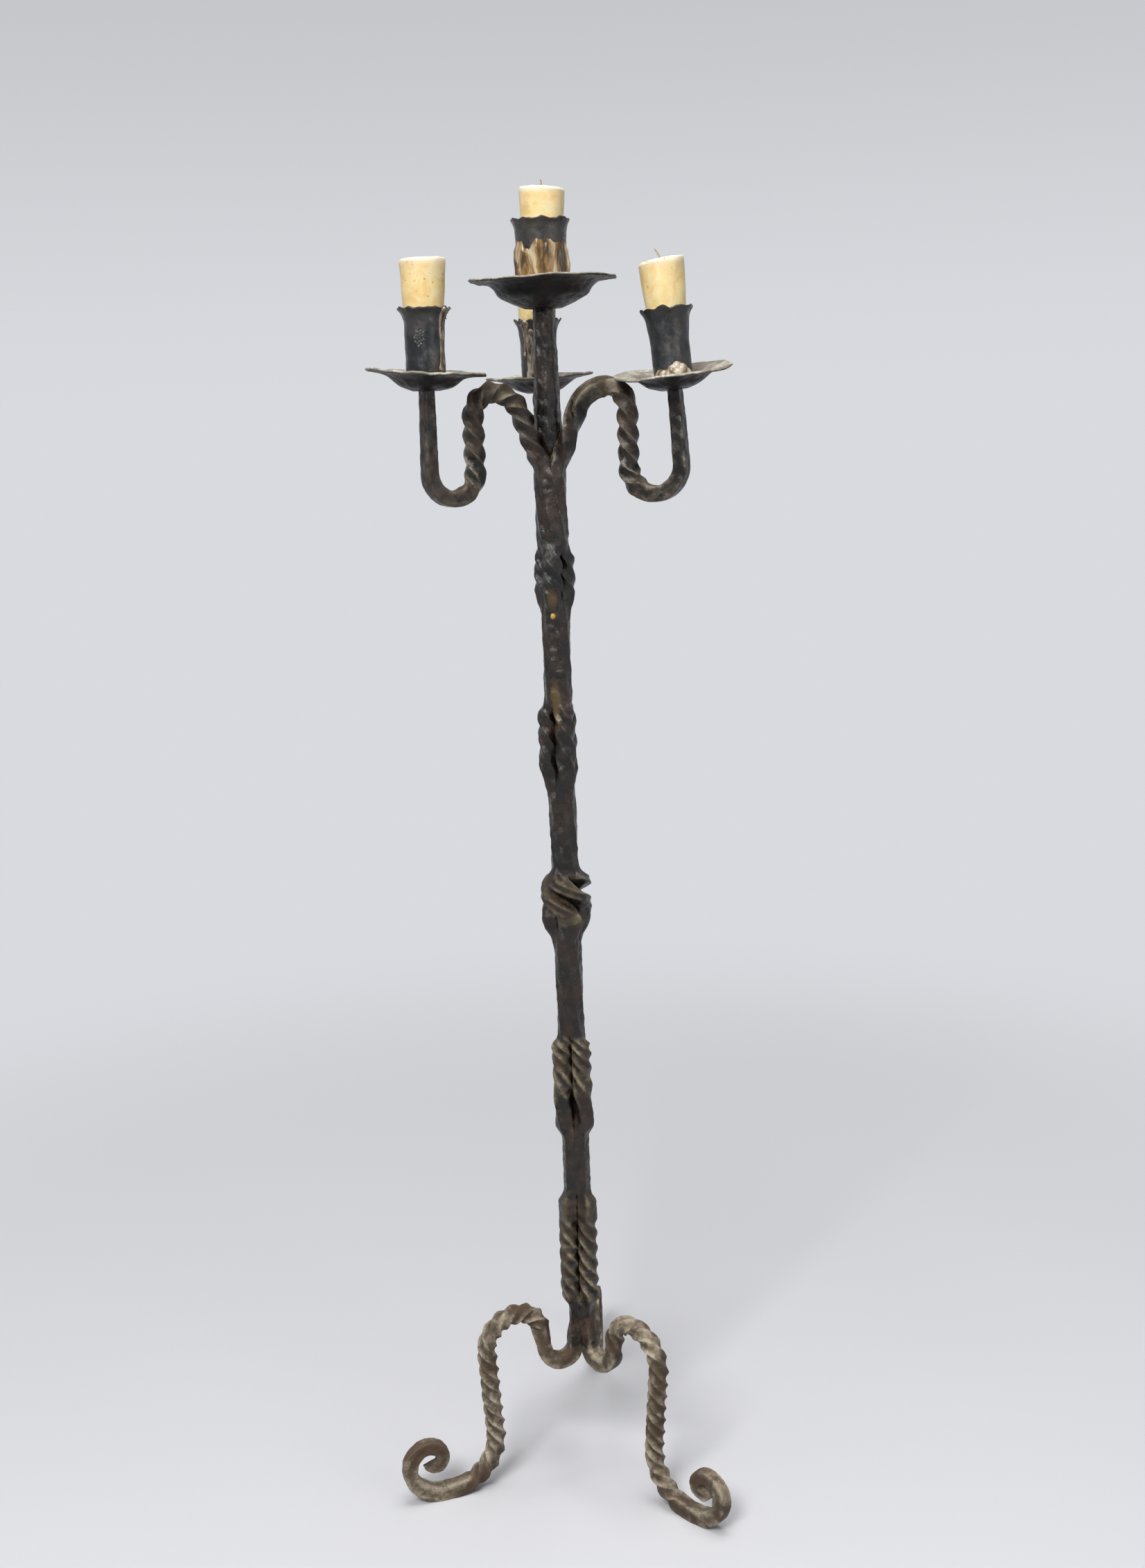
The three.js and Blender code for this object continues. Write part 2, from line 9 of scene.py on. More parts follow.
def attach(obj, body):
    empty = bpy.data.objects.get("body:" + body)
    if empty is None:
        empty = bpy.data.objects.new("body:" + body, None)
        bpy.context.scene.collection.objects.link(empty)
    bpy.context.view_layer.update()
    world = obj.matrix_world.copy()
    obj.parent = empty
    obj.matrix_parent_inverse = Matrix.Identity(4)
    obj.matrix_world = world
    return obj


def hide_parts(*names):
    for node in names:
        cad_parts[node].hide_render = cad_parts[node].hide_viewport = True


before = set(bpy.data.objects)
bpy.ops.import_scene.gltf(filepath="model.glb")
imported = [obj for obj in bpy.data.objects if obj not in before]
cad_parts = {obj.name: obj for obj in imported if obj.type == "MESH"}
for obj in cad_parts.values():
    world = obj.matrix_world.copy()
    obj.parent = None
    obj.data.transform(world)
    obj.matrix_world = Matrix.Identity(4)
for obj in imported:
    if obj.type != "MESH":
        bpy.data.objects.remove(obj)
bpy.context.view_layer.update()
scene = bpy.context.scene
scene.view_settings.view_transform = "Standard"
print("stage: frame loaded")

# sizes in millimetres from the stem's axis, as in the part, and angles in degrees
stem = {"x": 14.5, "y": -80, "foot": 317, "third": 120}  # foot is where the right leg points
bar = {
    "half": 8.25, "full": 9.0, "weld": 10, "weldRadius": 14.8, "collarRadius": 16.6, "armStart": 11.2,
    "corner": 11, "crease": 27,
}
sides = 48  # points round a bar
phis = np.linspace(0, 2 * np.pi, sides, endpoint=False)
nearZero = 1e-6


def ease(t):
    t = np.clip(t, 0, 1)
    return t * t * (3 - 2 * t)


def mix(a, b, t):
    return a + (b - a) * t


def radial(degrees):
    a = math.radians(degrees)
    return np.array([math.cos(a), math.sin(a), 0.0])


def upright(degrees, out, up):  # a point or direction in the upright plane at this azimuth
    return radial(degrees) * out + np.array([0, 0, up])


def rough(p, size, seed=0.0):
    return noise.noise(Vector((p[0] / size + seed, p[1] / size, p[2] / size - seed)))


def addPiece(name, points, faces, material, body="stand", node=None, sharp=80, fields=None):
    mesh = bpy.data.meshes.new(name)
    placed = (np.asarray(points, float) + [stem["x"], stem["y"], 0]) / 1000
    mesh.from_pydata(placed.tolist(), [], faces)
    for key, values in (fields or {}).items():
        layer = mesh.attributes.new(key, "FLOAT", "POINT")
        layer.data.foreach_set("value", np.asarray(values, np.float32).ravel())
    mesh.update()
    bm = bmesh.new()
    bm.from_mesh(mesh)
    bmesh.ops.recalc_face_normals(bm, faces=bm.faces)
    bm.to_mesh(mesh)
    bm.free()
    mesh.shade_smooth()
    mesh.set_sharp_from_angle(angle=math.radians(sharp))
    piece = bpy.data.objects.new(name, mesh)
    scene.collection.objects.link(piece)
    mesh.materials.append(material)
    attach(piece, body)
    if node:
        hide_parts(node)
    return piece


def loftFaces(rows, count, start=0):  # between rings, with a face over each end
    faces = []
    for i in range(rows - 1):
        for j in range(count):
            k = (j + 1) % count
            ring, after = start + i * count, start + (i + 1) * count
            faces.append((ring + j, ring + k, after + k, after + j))
    faces.append(tuple(start + j for j in range(count - 1, -1, -1)))
    faces.append(tuple(start + (rows - 1) * count + j for j in range(count)))
    return faces


# materials
def join(tree, socket, value):
    if isinstance(value, bpy.types.NodeSocket):
        tree.links.new(value, socket)
    else:
        socket.default_value = value


class Graph:
    def __init__(self, tree):
        self.tree = tree

    def node(self, kind, values=None, **settings):
        made = self.tree.nodes.new(kind)
        for key, value in settings.items():
            setattr(made, key, value)
        for key, value in (values or {}).items():
            join(self.tree, made.inputs[key], value)
        return made

    def noise(self, where, scale, detail=4, rough=0.55, distortion=0.0):
        values = {"Vector": where, "Scale": scale, "Detail": detail, "Roughness": rough}
        return self.node("ShaderNodeTexNoise", {**values, "Distortion": distortion}).outputs["Fac"]

    def span(self, value, low, high, to0=0.0, to1=1.0):
        values = {"Value": value, "From Min": low, "From Max": high, "To Min": to0, "To Max": to1}
        return self.node("ShaderNodeMapRange", values, interpolation_type="SMOOTHSTEP").outputs["Result"]

    def math(self, how, a, b=0.0, clamp=False):
        made = self.node("ShaderNodeMath", operation=how, use_clamp=clamp)
        join(self.tree, made.inputs[0], a)
        join(self.tree, made.inputs[1], b)
        return made.outputs[0]

    def times(self, *factors):
        product = factors[0]
        for factor in factors[1:]:
            product = self.math("MULTIPLY", product, factor)
        return product

    def weighed(self, a, shareA, b, shareB):
        return self.math("ADD", self.times(a, shareA), self.times(b, shareB))

    def blend(self, share, a, b, how="MIX"):
        made = self.node("ShaderNodeMix", data_type="RGBA", blend_type=how)
        for socket, value in zip((made.inputs[0], made.inputs[6], made.inputs[7]), (share, a, b)):
            join(self.tree, socket, value)
        return made.outputs[2]

    def bump(self, strength, distance, height, normal=None):
        values = {"Strength": strength, "Distance": distance, "Height": height}
        if normal is not None:
            values["Normal"] = normal
        return self.node("ShaderNodeBump", values).outputs["Normal"]


def rgb(r, g, b):
    return (r, g, b, 1.0)


def newGroup(name, inputs, outputs):
    tree = bpy.data.node_groups.new(name, "ShaderNodeTree")
    for label, (kind, value) in inputs.items():
        socket = tree.interface.new_socket(label, in_out="INPUT", socket_type="NodeSocket" + kind)
        socket.default_value = value
    for label, kind in outputs.items():
        tree.interface.new_socket(label, in_out="OUTPUT", socket_type="NodeSocket" + kind)
    graph = Graph(tree)
    return graph, graph.node("NodeGroupInput").outputs, graph.node("NodeGroupOutput")


# how many marks to a metre, and how deep the hammer's dents and the grain are in metres; grime darkens the
# hollows with grime and painted shade
forging = {
    "broad": 22, "patch": 62, "blotch": 210, "grain": 700, "dents": 92.0,
    "dentDeep": 0.0024, "grainDeep": 0.0004, "grimeAndShade": rgb(0.4, 0.36, 0.32), "pits": rgb(0.4, 0.37, 0.35),
}
forgedInputs = {
    "Dark": ("Color", rgb(0.006, 0.005, 0.004)), "Brown": ("Color", rgb(0.027, 0.02, 0.015)),
    "Rust": ("Color", rgb(0.07, 0.028, 0.013)), "Tan": ("Color", rgb(0.14, 0.108, 0.066)),
    "Pale": ("Color", rgb(0.27, 0.22, 0.145)), "Olive": ("Color", rgb(0.06, 0.047, 0.03)),
    "Honey": ("Color", rgb(0.13, 0.085, 0.03)),
    "TanShare": ("Float", 0.0), "Ridge": ("Float", 0.0), "RustShare": ("Float", 0.25), "Wax": ("Float", 0.0),
    "Dent": ("Float", 0.95), "Gloss": ("Float", 0.31),
}


def forgedGroup():  # black scale with brown film and rust, rubbed tan where it is worn, upper sides paler with dust and painted light from above, hollows darker with grime and painted shade
    outputs = {"Color": "Color", "Roughness": "Float", "Normal": "Vector"}
    g, given, out = newGroup("forgedSurface", forgedInputs, outputs)
    where = g.node("ShaderNodeTexCoord").outputs["Object"]
    broad = g.noise(where, forging["broad"], 5, 0.6, 0.3)
    patch = g.noise(where, forging["patch"], 5, 0.56, 0.4)
    blotch = g.noise(where, forging["blotch"], 5, 0.65, 0.3)
    grain = g.noise(where, forging["grain"], 5, 0.65)
    facing = g.node("ShaderNodeNewGeometry").outputs["Normal"]
    up = g.node("ShaderNodeSeparateXYZ", {"Vector": facing}).outputs["Z"]

    tone = g.weighed(broad, 0.5, patch, 0.5)
    color = g.blend(g.span(tone, 0.4, 0.62), given["Dark"], given["Brown"])
    rusty = g.times(g.span(g.weighed(broad, 0.6, blotch, 0.4), 0.46, 0.58), given["RustShare"])

    # ridges and patches wear first; upper sides get paler with settled dust and painted light from above
    worn = g.math("ADD", g.span(given["Ridge"], -0.7, 1.2, -0.14, 0.18), g.span(up, -0.7, 0.8, -0.4, 0.32))
    worn = g.math("ADD", worn, g.span(g.weighed(patch, 0.75, blotch, 0.25), 0.34, 0.66, -0.34, 0.3))
    tanned = g.span(g.math("ADD", worn, g.times(given["TanShare"], 1.3)), 0.1, 1.05)
    tanned = g.times(tanned, g.span(given["TanShare"], 0.0, 0.12))
    mottle = g.weighed(blotch, 0.8, given["Ridge"], 0.05)
    dusty = g.blend(g.span(mottle, 0.3, 0.52), given["Tan"], given["Pale"])
    dusty = g.blend(g.span(tone, 0.45, 0.55, 0.0, 0.85), dusty, given["Olive"])
    color = g.blend(tanned, color, dusty)
    color = g.blend(rusty, color, given["Rust"])

    # grime and painted shade darken the hollows, wax goes over it, pits on top
    color = g.blend(g.span(given["Ridge"], 0.1, -0.75, 0.0, 0.35), color, forging["grimeAndShade"], "MULTIPLY")
    waxed = g.times(g.span(g.math("ADD", given["Wax"], g.times(blotch, 0.5)), 0.5, 0.85), given["Wax"])
    color = g.blend(waxed, color, given["Honey"])
    color = g.blend(g.span(grain, 0.56, 0.72, 0.0, 0.4), color, forging["pits"], "MULTIPLY")

    values = {"Vector": where, "Scale": forging["dents"], "Smoothness": 0.55}
    dents = g.node("ShaderNodeTexVoronoi", values, feature="SMOOTH_F1").outputs["Distance"]
    relief = g.math("ADD", g.times(dents, 1.1), g.weighed(patch, 0.6, blotch, 0.3))
    normal = g.bump(given["Dent"], forging["dentDeep"], relief)
    normal = g.bump(0.3, forging["grainDeep"], grain, normal)

    gloss = g.math("ADD", given["Gloss"], g.span(blotch, 0.35, 0.65, -0.08, 0.14))
    gloss = g.math("ADD", gloss, g.times(g.math("MAXIMUM", tanned, rusty), 0.25))
    gloss = g.math("SUBTRACT", gloss, g.times(waxed, 0.12))
    for label, value in (("Color", color), ("Roughness", gloss), ("Normal", normal)):
        g.tree.links.new(value, out.inputs[label])
    return g.tree


forged = forgedGroup()


def newMaterial(name):
    material = bpy.data.materials.new(name)
    material.use_nodes = True
    return material, Graph(material.node_tree), material.node_tree.nodes["Principled BSDF"]


def ironMaterial(name, metal, mirror, **values):
    material, g, surface = newMaterial(name)
    group = g.node("ShaderNodeGroup", node_tree=forged)
    for key, value in values.items():
        group.inputs[key].default_value = value
    for key, field in (("TanShare", "tan"), ("Ridge", "ridge"), ("Wax", "wax")):
        if key not in values:
            drawn = g.node("ShaderNodeAttribute", attribute_name=field).outputs["Fac"]
            g.tree.links.new(drawn, group.inputs[key])
    g.tree.links.new(group.outputs["Color"], surface.inputs["Base Color"])
    g.tree.links.new(group.outputs["Roughness"], surface.inputs["Roughness"])
    g.tree.links.new(group.outputs["Normal"], surface.inputs["Normal"])
    surface.inputs["Metallic"].default_value = metal
    surface.inputs["Specular IOR Level"].default_value = mirror
    return material


stemIron = ironMaterial("stemIron", 0.2, 0.5)
armIron = ironMaterial(
    "armIron", 0.2, 0.45, Dark=rgb(0.008, 0.007, 0.006), Brown=rgb(0.034, 0.027, 0.021),
    Tan=rgb(0.15, 0.122, 0.086), Pale=rgb(0.31, 0.26, 0.185), Dent=0.6,
)
legIron = ironMaterial(
    "legIron", 0.05, 0.33, Tan=rgb(0.27, 0.215, 0.145), Pale=rgb(0.5, 0.43, 0.33),
    Olive=rgb(0.075, 0.06, 0.04), Rust=rgb(0.12, 0.07, 0.042), RustShare=0.75, Dent=0.6, Gloss=0.4,
)
panIron = ironMaterial(
    "panIron", 0.04, 0.2, Dark=rgb(0.006, 0.0055, 0.006), Brown=rgb(0.017, 0.015, 0.014),
    Olive=rgb(0.22, 0.2, 0.165), Tan=rgb(0.26, 0.235, 0.19), Pale=rgb(0.6, 0.56, 0.47),
    RustShare=0.3, Dent=0.5, Gloss=0.4,
)
cupIron = ironMaterial(
    "cupIron", 0.5, 0.5, Dark=rgb(0.02, 0.023, 0.026), Brown=rgb(0.062, 0.062, 0.065),
    Rust=rgb(0.08, 0.062, 0.04), TanShare=0.0, RustShare=0.4, Dent=0.3, Gloss=0.3,
)

# shades from the clouds' dark to their light, and how often the clouds change to a metre; crown is how much
# paler wax and painted highlight the top gets
waxes = {
    "tallow": {
        "shades": (rgb(0.86, 0.62, 0.27), rgb(0.92, 0.71, 0.34), rgb(0.95, 0.78, 0.44)),
        "clear": 0.3, "gloss": 0.3, "specks": 0.9, "clouds": (60, 60, 60), "crown": 0.9,
    },
    "amberWax": {
        "shades": (rgb(0.06, 0.036, 0.015), rgb(0.25, 0.14, 0.04), rgb(0.52, 0.43, 0.28)),
        "clear": 0.1, "gloss": 0.12, "specks": 0.8, "clouds": (75, 75, 30), "crown": 0.0,
    },
    "honeyWax": {
        "shades": (rgb(0.3, 0.16, 0.02), rgb(0.5, 0.3, 0.05), rgb(0.65, 0.45, 0.12)),
        "clear": 0.2, "gloss": 0.1, "specks": 0.0, "clouds": (60, 60, 60), "crown": 0.0,
    },
    "crustWax": {
        "shades": (rgb(0.025, 0.025, 0.025), rgb(0.07, 0.066, 0.058), rgb(0.17, 0.155, 0.13)),
        "clear": 0.0, "gloss": 0.3, "specks": 0.4, "clouds": (160, 160, 160), "crown": 0.0,
    },
    "paleWax": {
        "shades": (rgb(0.1, 0.075, 0.048), rgb(0.3, 0.235, 0.15), rgb(0.54, 0.48, 0.38)),
        "clear": 0.15, "gloss": 0.1, "specks": 0.6, "clouds": (110, 110, 60), "crown": 0.0,
    },
}
waxColors = {"crown": rgb(0.93, 0.86, 0.68), "speck": rgb(0.22, 0.1, 0.03)}  # paler top wax with a painted highlight, burnt bits


def waxMaterial(name):
    wax = waxes[name]
    dark, middle, light = wax["shades"]
    material, g, surface = newMaterial(name)
    where = g.node("ShaderNodeTexCoord").outputs["Object"]
    drawn = g.node("ShaderNodeMapping", {"Vector": where, "Scale": wax["clouds"]}).outputs["Vector"]
    cloud = g.noise(drawn, 1.0, 5, 0.6, 0.6)
    fine = g.noise(where, 420, 4)
    color = g.blend(g.span(cloud, 0.38, 0.5), dark, middle)
    color = g.blend(g.span(cloud, 0.5, 0.62), color, light)
    # the top gets paler wax and a painted highlight
    top = g.node("ShaderNodeAttribute", attribute_name="ridge").outputs["Fac"]
    color = g.blend(g.times(top, wax["crown"]), color, waxColors["crown"])
    speck = g.times(g.span(fine, 0.64, 0.68), g.span(g.noise(where, 45, 2), 0.48, 0.56), wax["specks"])
    color = g.blend(speck, color, waxColors["speck"])
    g.tree.links.new(color, surface.inputs["Base Color"])
    surface.inputs["Subsurface Weight"].default_value = wax["clear"]
    surface.inputs["Subsurface Radius"].default_value = (1.0, 0.6, 0.3)
    surface.inputs["Subsurface Scale"].default_value = 0.006
    g.tree.links.new(g.math("ADD", g.times(cloud, 0.25), wax["gloss"]), surface.inputs["Roughness"])
    normal = g.bump(0.35, 0.0015, g.math("ADD", cloud, g.times(fine, 0.15)))
    g.tree.links.new(normal, surface.inputs["Normal"])
    return material


tallow, amberWax, honeyWax, crustWax, paleWax = [waxMaterial(name) for name in waxes]


cottonColors = {"charred": rgb(0.16, 0.1, 0.06), "clean": rgb(0.55, 0.42, 0.26)}


def cottonMaterial():
    material, g, surface = newMaterial("cotton")
    where = g.node("ShaderNodeTexCoord").outputs["Object"]
    values = {"Vector": where, "Scale": 500.0, "Distortion": 3.0}
    plait = g.node("ShaderNodeTexWave", values, bands_direction="DIAGONAL").outputs["Fac"]
    color = g.blend(plait, cottonColors["charred"], cottonColors["clean"])
    g.tree.links.new(color, surface.inputs["Base Color"])
    surface.inputs["Roughness"].default_value = 0.9
    return material


cotton = cottonMaterial()
print("stage: materials")

# bars
facets = {"count": 8, "phase": 8, "reach": 0.96, "soft": 70}  # flats hammered round the welded stem
seam = {"welded": 0.8, "open": -0.1}  # how far a bar goes past its third of the stem
ridge = {"span": 2, "hollow": -0.75, "welded": 0.1}  # from a bar's hollows to its corners
hammer = {"mark": 8, "finer": 2.7, "share": 0.4, "seed": 3.1}
finest = {"turn": 5, "twist": 7.5, "run": 3}  # most degrees or millimetres from ring to ring


def squareReach(phi, deep, wide, corner):
    x, y = np.abs(np.cos(phi)) / deep, np.abs(np.sin(phi)) / wide
    return (x ** corner + y ** corner) ** (-1 / corner)


def facetReach(flats):  # each an angle and its distance, met softly
    total = np.zeros(sides)
    for theta, away in flats:
        total += (np.maximum(0, np.cos(phis - theta)) / away) ** facets["soft"]
    return total ** (-1 / facets["soft"])


def weldedFlats(off, radius, turn, mirror):
    flats = []
    for k in range(facets["count"]):
        theta = mirror * math.radians(k * 360 / facets["count"] + facets["phase"] - turn)
        flats.append((theta, radius * facets["reach"] - off * math.cos(theta)))
    return flats


def sectionRing(s, off, lean, opened, radius, turn, mirror=1):
    u = math.radians(s["twist"]) + phis
    aim = math.radians(s.get("aim", s["twist"]))
    square = squareReach(u - aim, s["deep"], s["wide"], s.get("corner", bar["corner"]))
    reach = square
    if opened < 1:
        shift = int(round(s["twist"] / 360 * sides)) % sides
        welded = np.roll(facetReach(weldedFlats(off, radius, turn, mirror)), -shift)
        reach = mix(welded, square, opened)
    share = math.radians(stem["third"] / 2)
    closing = math.cos(share) * np.abs(np.sin(u)) - math.sin(share) * lean * np.cos(u)
    room = off * math.sin(share) + mix(seam["welded"], seam["open"], opened)
    limit = np.where(closing > nearZero, room / np.maximum(closing, nearZero), np.inf)
    reach = np.minimum(reach, limit)
    low, high = square.min(), square.max()
    corners = (square - low) / (high - low) * ridge["span"] + ridge["hollow"]
    return reach * np.cos(u), reach * np.sin(u), mix(np.full(sides, ridge["welded"]), corners, opened)


def walk(start, moves):  # a bar's stations through runs and bends, from where it starts
    station = dict(start)
    stations = [dict(station)]
    for move in moves:
        run, bend, turn = move.get("run", 0), move.get("bend", 0), move.get("turn", 0)
        twist, shrink = move.get("twist", 0), move.get("shrink", 1)
        length = run if run else abs(math.radians(turn)) * bend
        wanted = max(abs(turn) / finest["turn"], abs(twist) / finest["twist"], length / finest["run"])
        steps = max(1, math.ceil(wanted))
        first = dict(station)
        for i in range(1, steps + 1):
            after = dict(station)
            slope = math.radians(station["heading"])
            after["heading"] = first["heading"] + turn * i / steps
            if turn:
                kept = shrink ** (abs(turn) / 90 * (i - 0.5) / steps)
                radius = math.copysign(bend, turn) * kept if bend else run / math.radians(turn)
                after["r"] += radius * (math.sin(math.radians(after["heading"])) - math.sin(slope))
                after["z"] -= radius * (math.cos(math.radians(after["heading"])) - math.cos(slope))
            else:
                after["r"] += run / steps * math.cos(slope)
                after["z"] += run / steps * math.sin(slope)
            after["twist"] = first["twist"] - twist * i / steps
            for key in ("deep", "wide", "tan"):
                after[key] = mix(first[key], move.get(key, first[key]), i / steps)
            after["along"] += math.hypot(after["r"] - station["r"], after["z"] - station["z"])
            station = after
            stations.append(dict(station))
    return stations


def walkedBar(stations, azimuth, side, weldLength, radius, r, turn, askew=0):
    rings, middles, ridges, tans = [], [], [], []
    for s in stations:
        slope = math.radians(s["heading"])
        swung = azimuth + askew * float(ease(s["along"] / weldLength - 1))
        first = upright(swung, side * math.sin(slope), -side * math.cos(slope))
        second = radial(swung + 90) * side
        middle = radial(azimuth) * r + upright(swung, s["r"] - r, s["z"])
        opened = float(ease(s["along"] / weldLength))
        u, v, corners = sectionRing(s, s["r"], side * math.sin(slope), opened, radius, turn, side)
        rings.append(middle + np.outer(u, first) + np.outer(v, second))
        middles.append(middle)
        ridges.append(corners)
        tans.append(np.full(sides, s["tan"]))
    return np.array(rings), np.array(middles), np.array(ridges), np.array(tans)


def dented(points, middles, depth):  # hammer marks, moved towards each ring's middle
    out = points.copy()
    for i, ring in enumerate(points):
        for j, p in enumerate(ring):
            away = p - middles[i]
            fine = rough(p, hammer["mark"] / hammer["finer"], hammer["seed"])
            mark = rough(p, hammer["mark"]) + hammer["share"] * fine
            out[i, j] = p + away / np.linalg.norm(away) * depth * mark
    return out


def addBar(name, rings, middles, ridges, tans, material, node, slot, depth, wax=None):
    points = dented(rings, middles, depth)
    points[:, :, 2] = np.maximum(points[:, :, 2], 0)  # the feet are worn flat
    fields = {"ridge": ridges, "tan": tans}
    if wax is not None:
        fields["wax"] = wax
    points, faces = points.reshape(-1, 3), loftFaces(len(rings), sides)
    addPiece(name, points, faces, material, node=node, sharp=bar["crease"], fields=fields)


straight = {"along": 0, "twist": 0, "deep": bar["half"], "wide": bar["half"]}

# legs; the twists are those of rise, inner arch, outer arch, drop and sweep
legSizes = {
    "top": 197, "neck": 36, "crotch": 18, "crotchTurn": 170, "crotchWorn": 45, "archInner": 25,
    "archOuter": 39, "swept": 0.75, "flat": 8, "wear": 0.4, "shrink": 0.66, "scrollTurn": 430,
    "tip": 4, "tipWide": 6.5, "half": 8.6, "dent": 0.7,
}
legs = {
    "right": {
        "rise": 27, "lean": 5.5, "sweep": 54, "scroll": 39, "askew": 0,
        "twist": (110, 190, 330, 560, 340),
    },
    "back": {
        "rise": 27, "lean": -32, "sweep": 56, "scroll": 48, "askew": 10,
        "twist": (0, 80, 200, 510, 200),
    },
    "left": {
        "rise": 33, "lean": 3.3, "sweep": 57, "scroll": 44, "askew": 0,
        "twist": (40, 210, 380, 560, 340),
    },
}


def legStations(leg, drop):
    size, half, out = legSizes, legSizes["half"], 90 + leg["lean"]
    rise, inner, outer, down, sweep = leg["twist"]
    return walk(dict(straight, r=bar["weld"], z=size["top"], heading=-90, tan=0.1), [
        {"run": size["neck"], "tan": 0.35},
        {"bend": size["crotch"], "turn": size["crotchWorn"], "tan": 0.8},
        {"bend": size["crotch"], "turn": size["crotchTurn"] - size["crotchWorn"], "tan": 0.9},
        {"run": leg["rise"], "twist": rise, "deep": half, "wide": half},
        {"bend": size["archInner"], "turn": 90 - size["crotchTurn"], "twist": inner, "tan": 1},
        {"bend": size["archOuter"], "turn": -out, "twist": outer},
        {"run": drop, "twist": down, "tan": 0.8},
        {"bend": leg["sweep"], "turn": out * size["swept"], "twist": sweep},
        {"bend": leg["sweep"], "turn": out * (1 - size["swept"])},
        {"run": size["flat"], "tan": 0.85},
        {"bend": leg["scroll"], "turn": size["scrollTurn"], "shrink": size["shrink"],
         "deep": size["tip"], "wide": size["tipWide"]},
    ])


def makeLeg(name, azimuth, turn):
    leg, neck = legs[name], legSizes["neck"]
    # with no drop, the flat at the scroll tells how far the leg still has to go down
    level = [s["z"] for s in legStations(leg, nearZero) if abs(s["heading"]) < 1][-1]
    drop = (level - bar["half"] + legSizes["wear"]) / math.cos(math.radians(leg["lean"]))
    stations = legStations(leg, drop)
    built = walkedBar(stations, azimuth, -1, neck, bar["weldRadius"], bar["weld"], turn, leg["askew"])
    addBar("forgedLeg_" + name, *built, legIron, "leg_" + name, "leg_iron", legSizes["dent"])


# stem, from its foot up: sway carries the bars round the axis and twist turns each round itself, between
# the shares from and to that count down from a stretch's top; relax over 1 gathers the twist near the top,
# closing is how slowly the bars close below, and bare is the lowest share, without wear
stretches = [
    {"length": 5, "sway": 0},
    {"length": 155, "sway": 7, "twist": 450, "from": 0.26, "to": 0.86, "relax": 1, "tan": 0.5},
    {"length": 54, "sway": -1},
    {
        "length": 133, "sway": 0, "twist": 450, "from": 0.03, "to": 0.95, "relax": 2.2,
        "tan": 0.65, "bare": 0.25,
    },
    {"length": 85, "sway": -43},
    {"length": 106, "sway": -185, "from": 0.06, "to": 0.58, "closing": 42, "knot": True, "tan": 0.07},
    {"length": 62, "sway": -39},
    {
        "length": 122, "sway": 0, "twist": 270, "from": 0.08, "to": 0.75, "relax": 1.4,
        "closing": 46, "tan": 0.05,
    },
    {"length": 75, "sway": -34},
    {"length": 90, "sway": 0, "twist": 180, "from": 0.15, "to": 0.6, "relax": 1, "closing": 38, "tan": 0.03},
    {"length": 67, "sway": -48.6},
]
stemSizes = {
    "lead": 20, "tight": -0.9, "rounded": 0.96, "gap": 0.3, "corner": 6.5, "step": 2.0, "dent": 0.8,
    "knotSpread": 15.6, "knotWidth": 1.55, "knotDeep": 11.0, "knotCorner": 5.0, "collarFade": 40,
    "plain": 0.04, "bareFade": 0.35, "footTan": 0.1, "footHigh": 235, "footFade": 40,
}
stemTop = legSizes["top"] + sum(s["length"] for s in stretches)
stemSway = sum(s["sway"] for s in stretches)
cornerReach = bar["half"] * math.sqrt(2) * stemSizes["rounded"]
partSpread = (cornerReach + stemSizes["gap"]) / math.sin(math.radians(stem["third"] / 2))


def stemStation(stretch, share, foot):
    size, length, twist, knot = stemSizes, stretch["length"], stretch.get("twist", 0), "knot" in stretch
    height = foot["z"] + share * length
    parted = min(share * length / stretch.get("closing", size["lead"]), (1 - share) * length / size["lead"])
    opened = float(ease(parted)) if twist or knot else 0.0
    collarLow = stemTop - stretches[-1]["length"]
    collar = min(1, max(0, 1 - (collarLow - height) / size["collarFade"]))
    swayed, turned = share, 0
    if knot:
        swayed = float(ease((share - 1 + stretch["to"]) / (stretch["to"] - stretch["from"])))
    if twist:
        down = min(1, max(0, (1 - share - stretch["from"]) / (stretch["to"] - stretch["from"])))
        turned = twist * (1 - down) ** stretch["relax"]
    worn = stretch.get("tan", 0) * float(ease((share - stretch.get("bare", -1)) / size["bareFade"]))
    spread, deep, wide, corner = partSpread + size["tight"], bar["full"], bar["full"], size["corner"]
    if knot:
        spread, deep, corner = size["knotSpread"], size["knotDeep"], size["knotCorner"]
        wide = bar["half"] * size["knotWidth"]
    station = {
        "z": height, "opened": opened, "tan": mix(size["plain"], worn, opened),
        "twist": foot["twist"] - turned, "azimuth": foot["azimuth"] + stretch["sway"] * swayed,
        "off": mix(mix(bar["weld"], bar["armStart"], collar), spread, opened),
        "round": mix(bar["weldRadius"], bar["collarRadius"], collar),
        "corner": mix(size["corner"], corner, opened),
        "deep": mix(bar["half"], deep, opened), "wide": mix(bar["half"], wide, opened),
    }
    if knot:
        station["aim"] = 0  # the straps keep one flat side to the axis
    return station


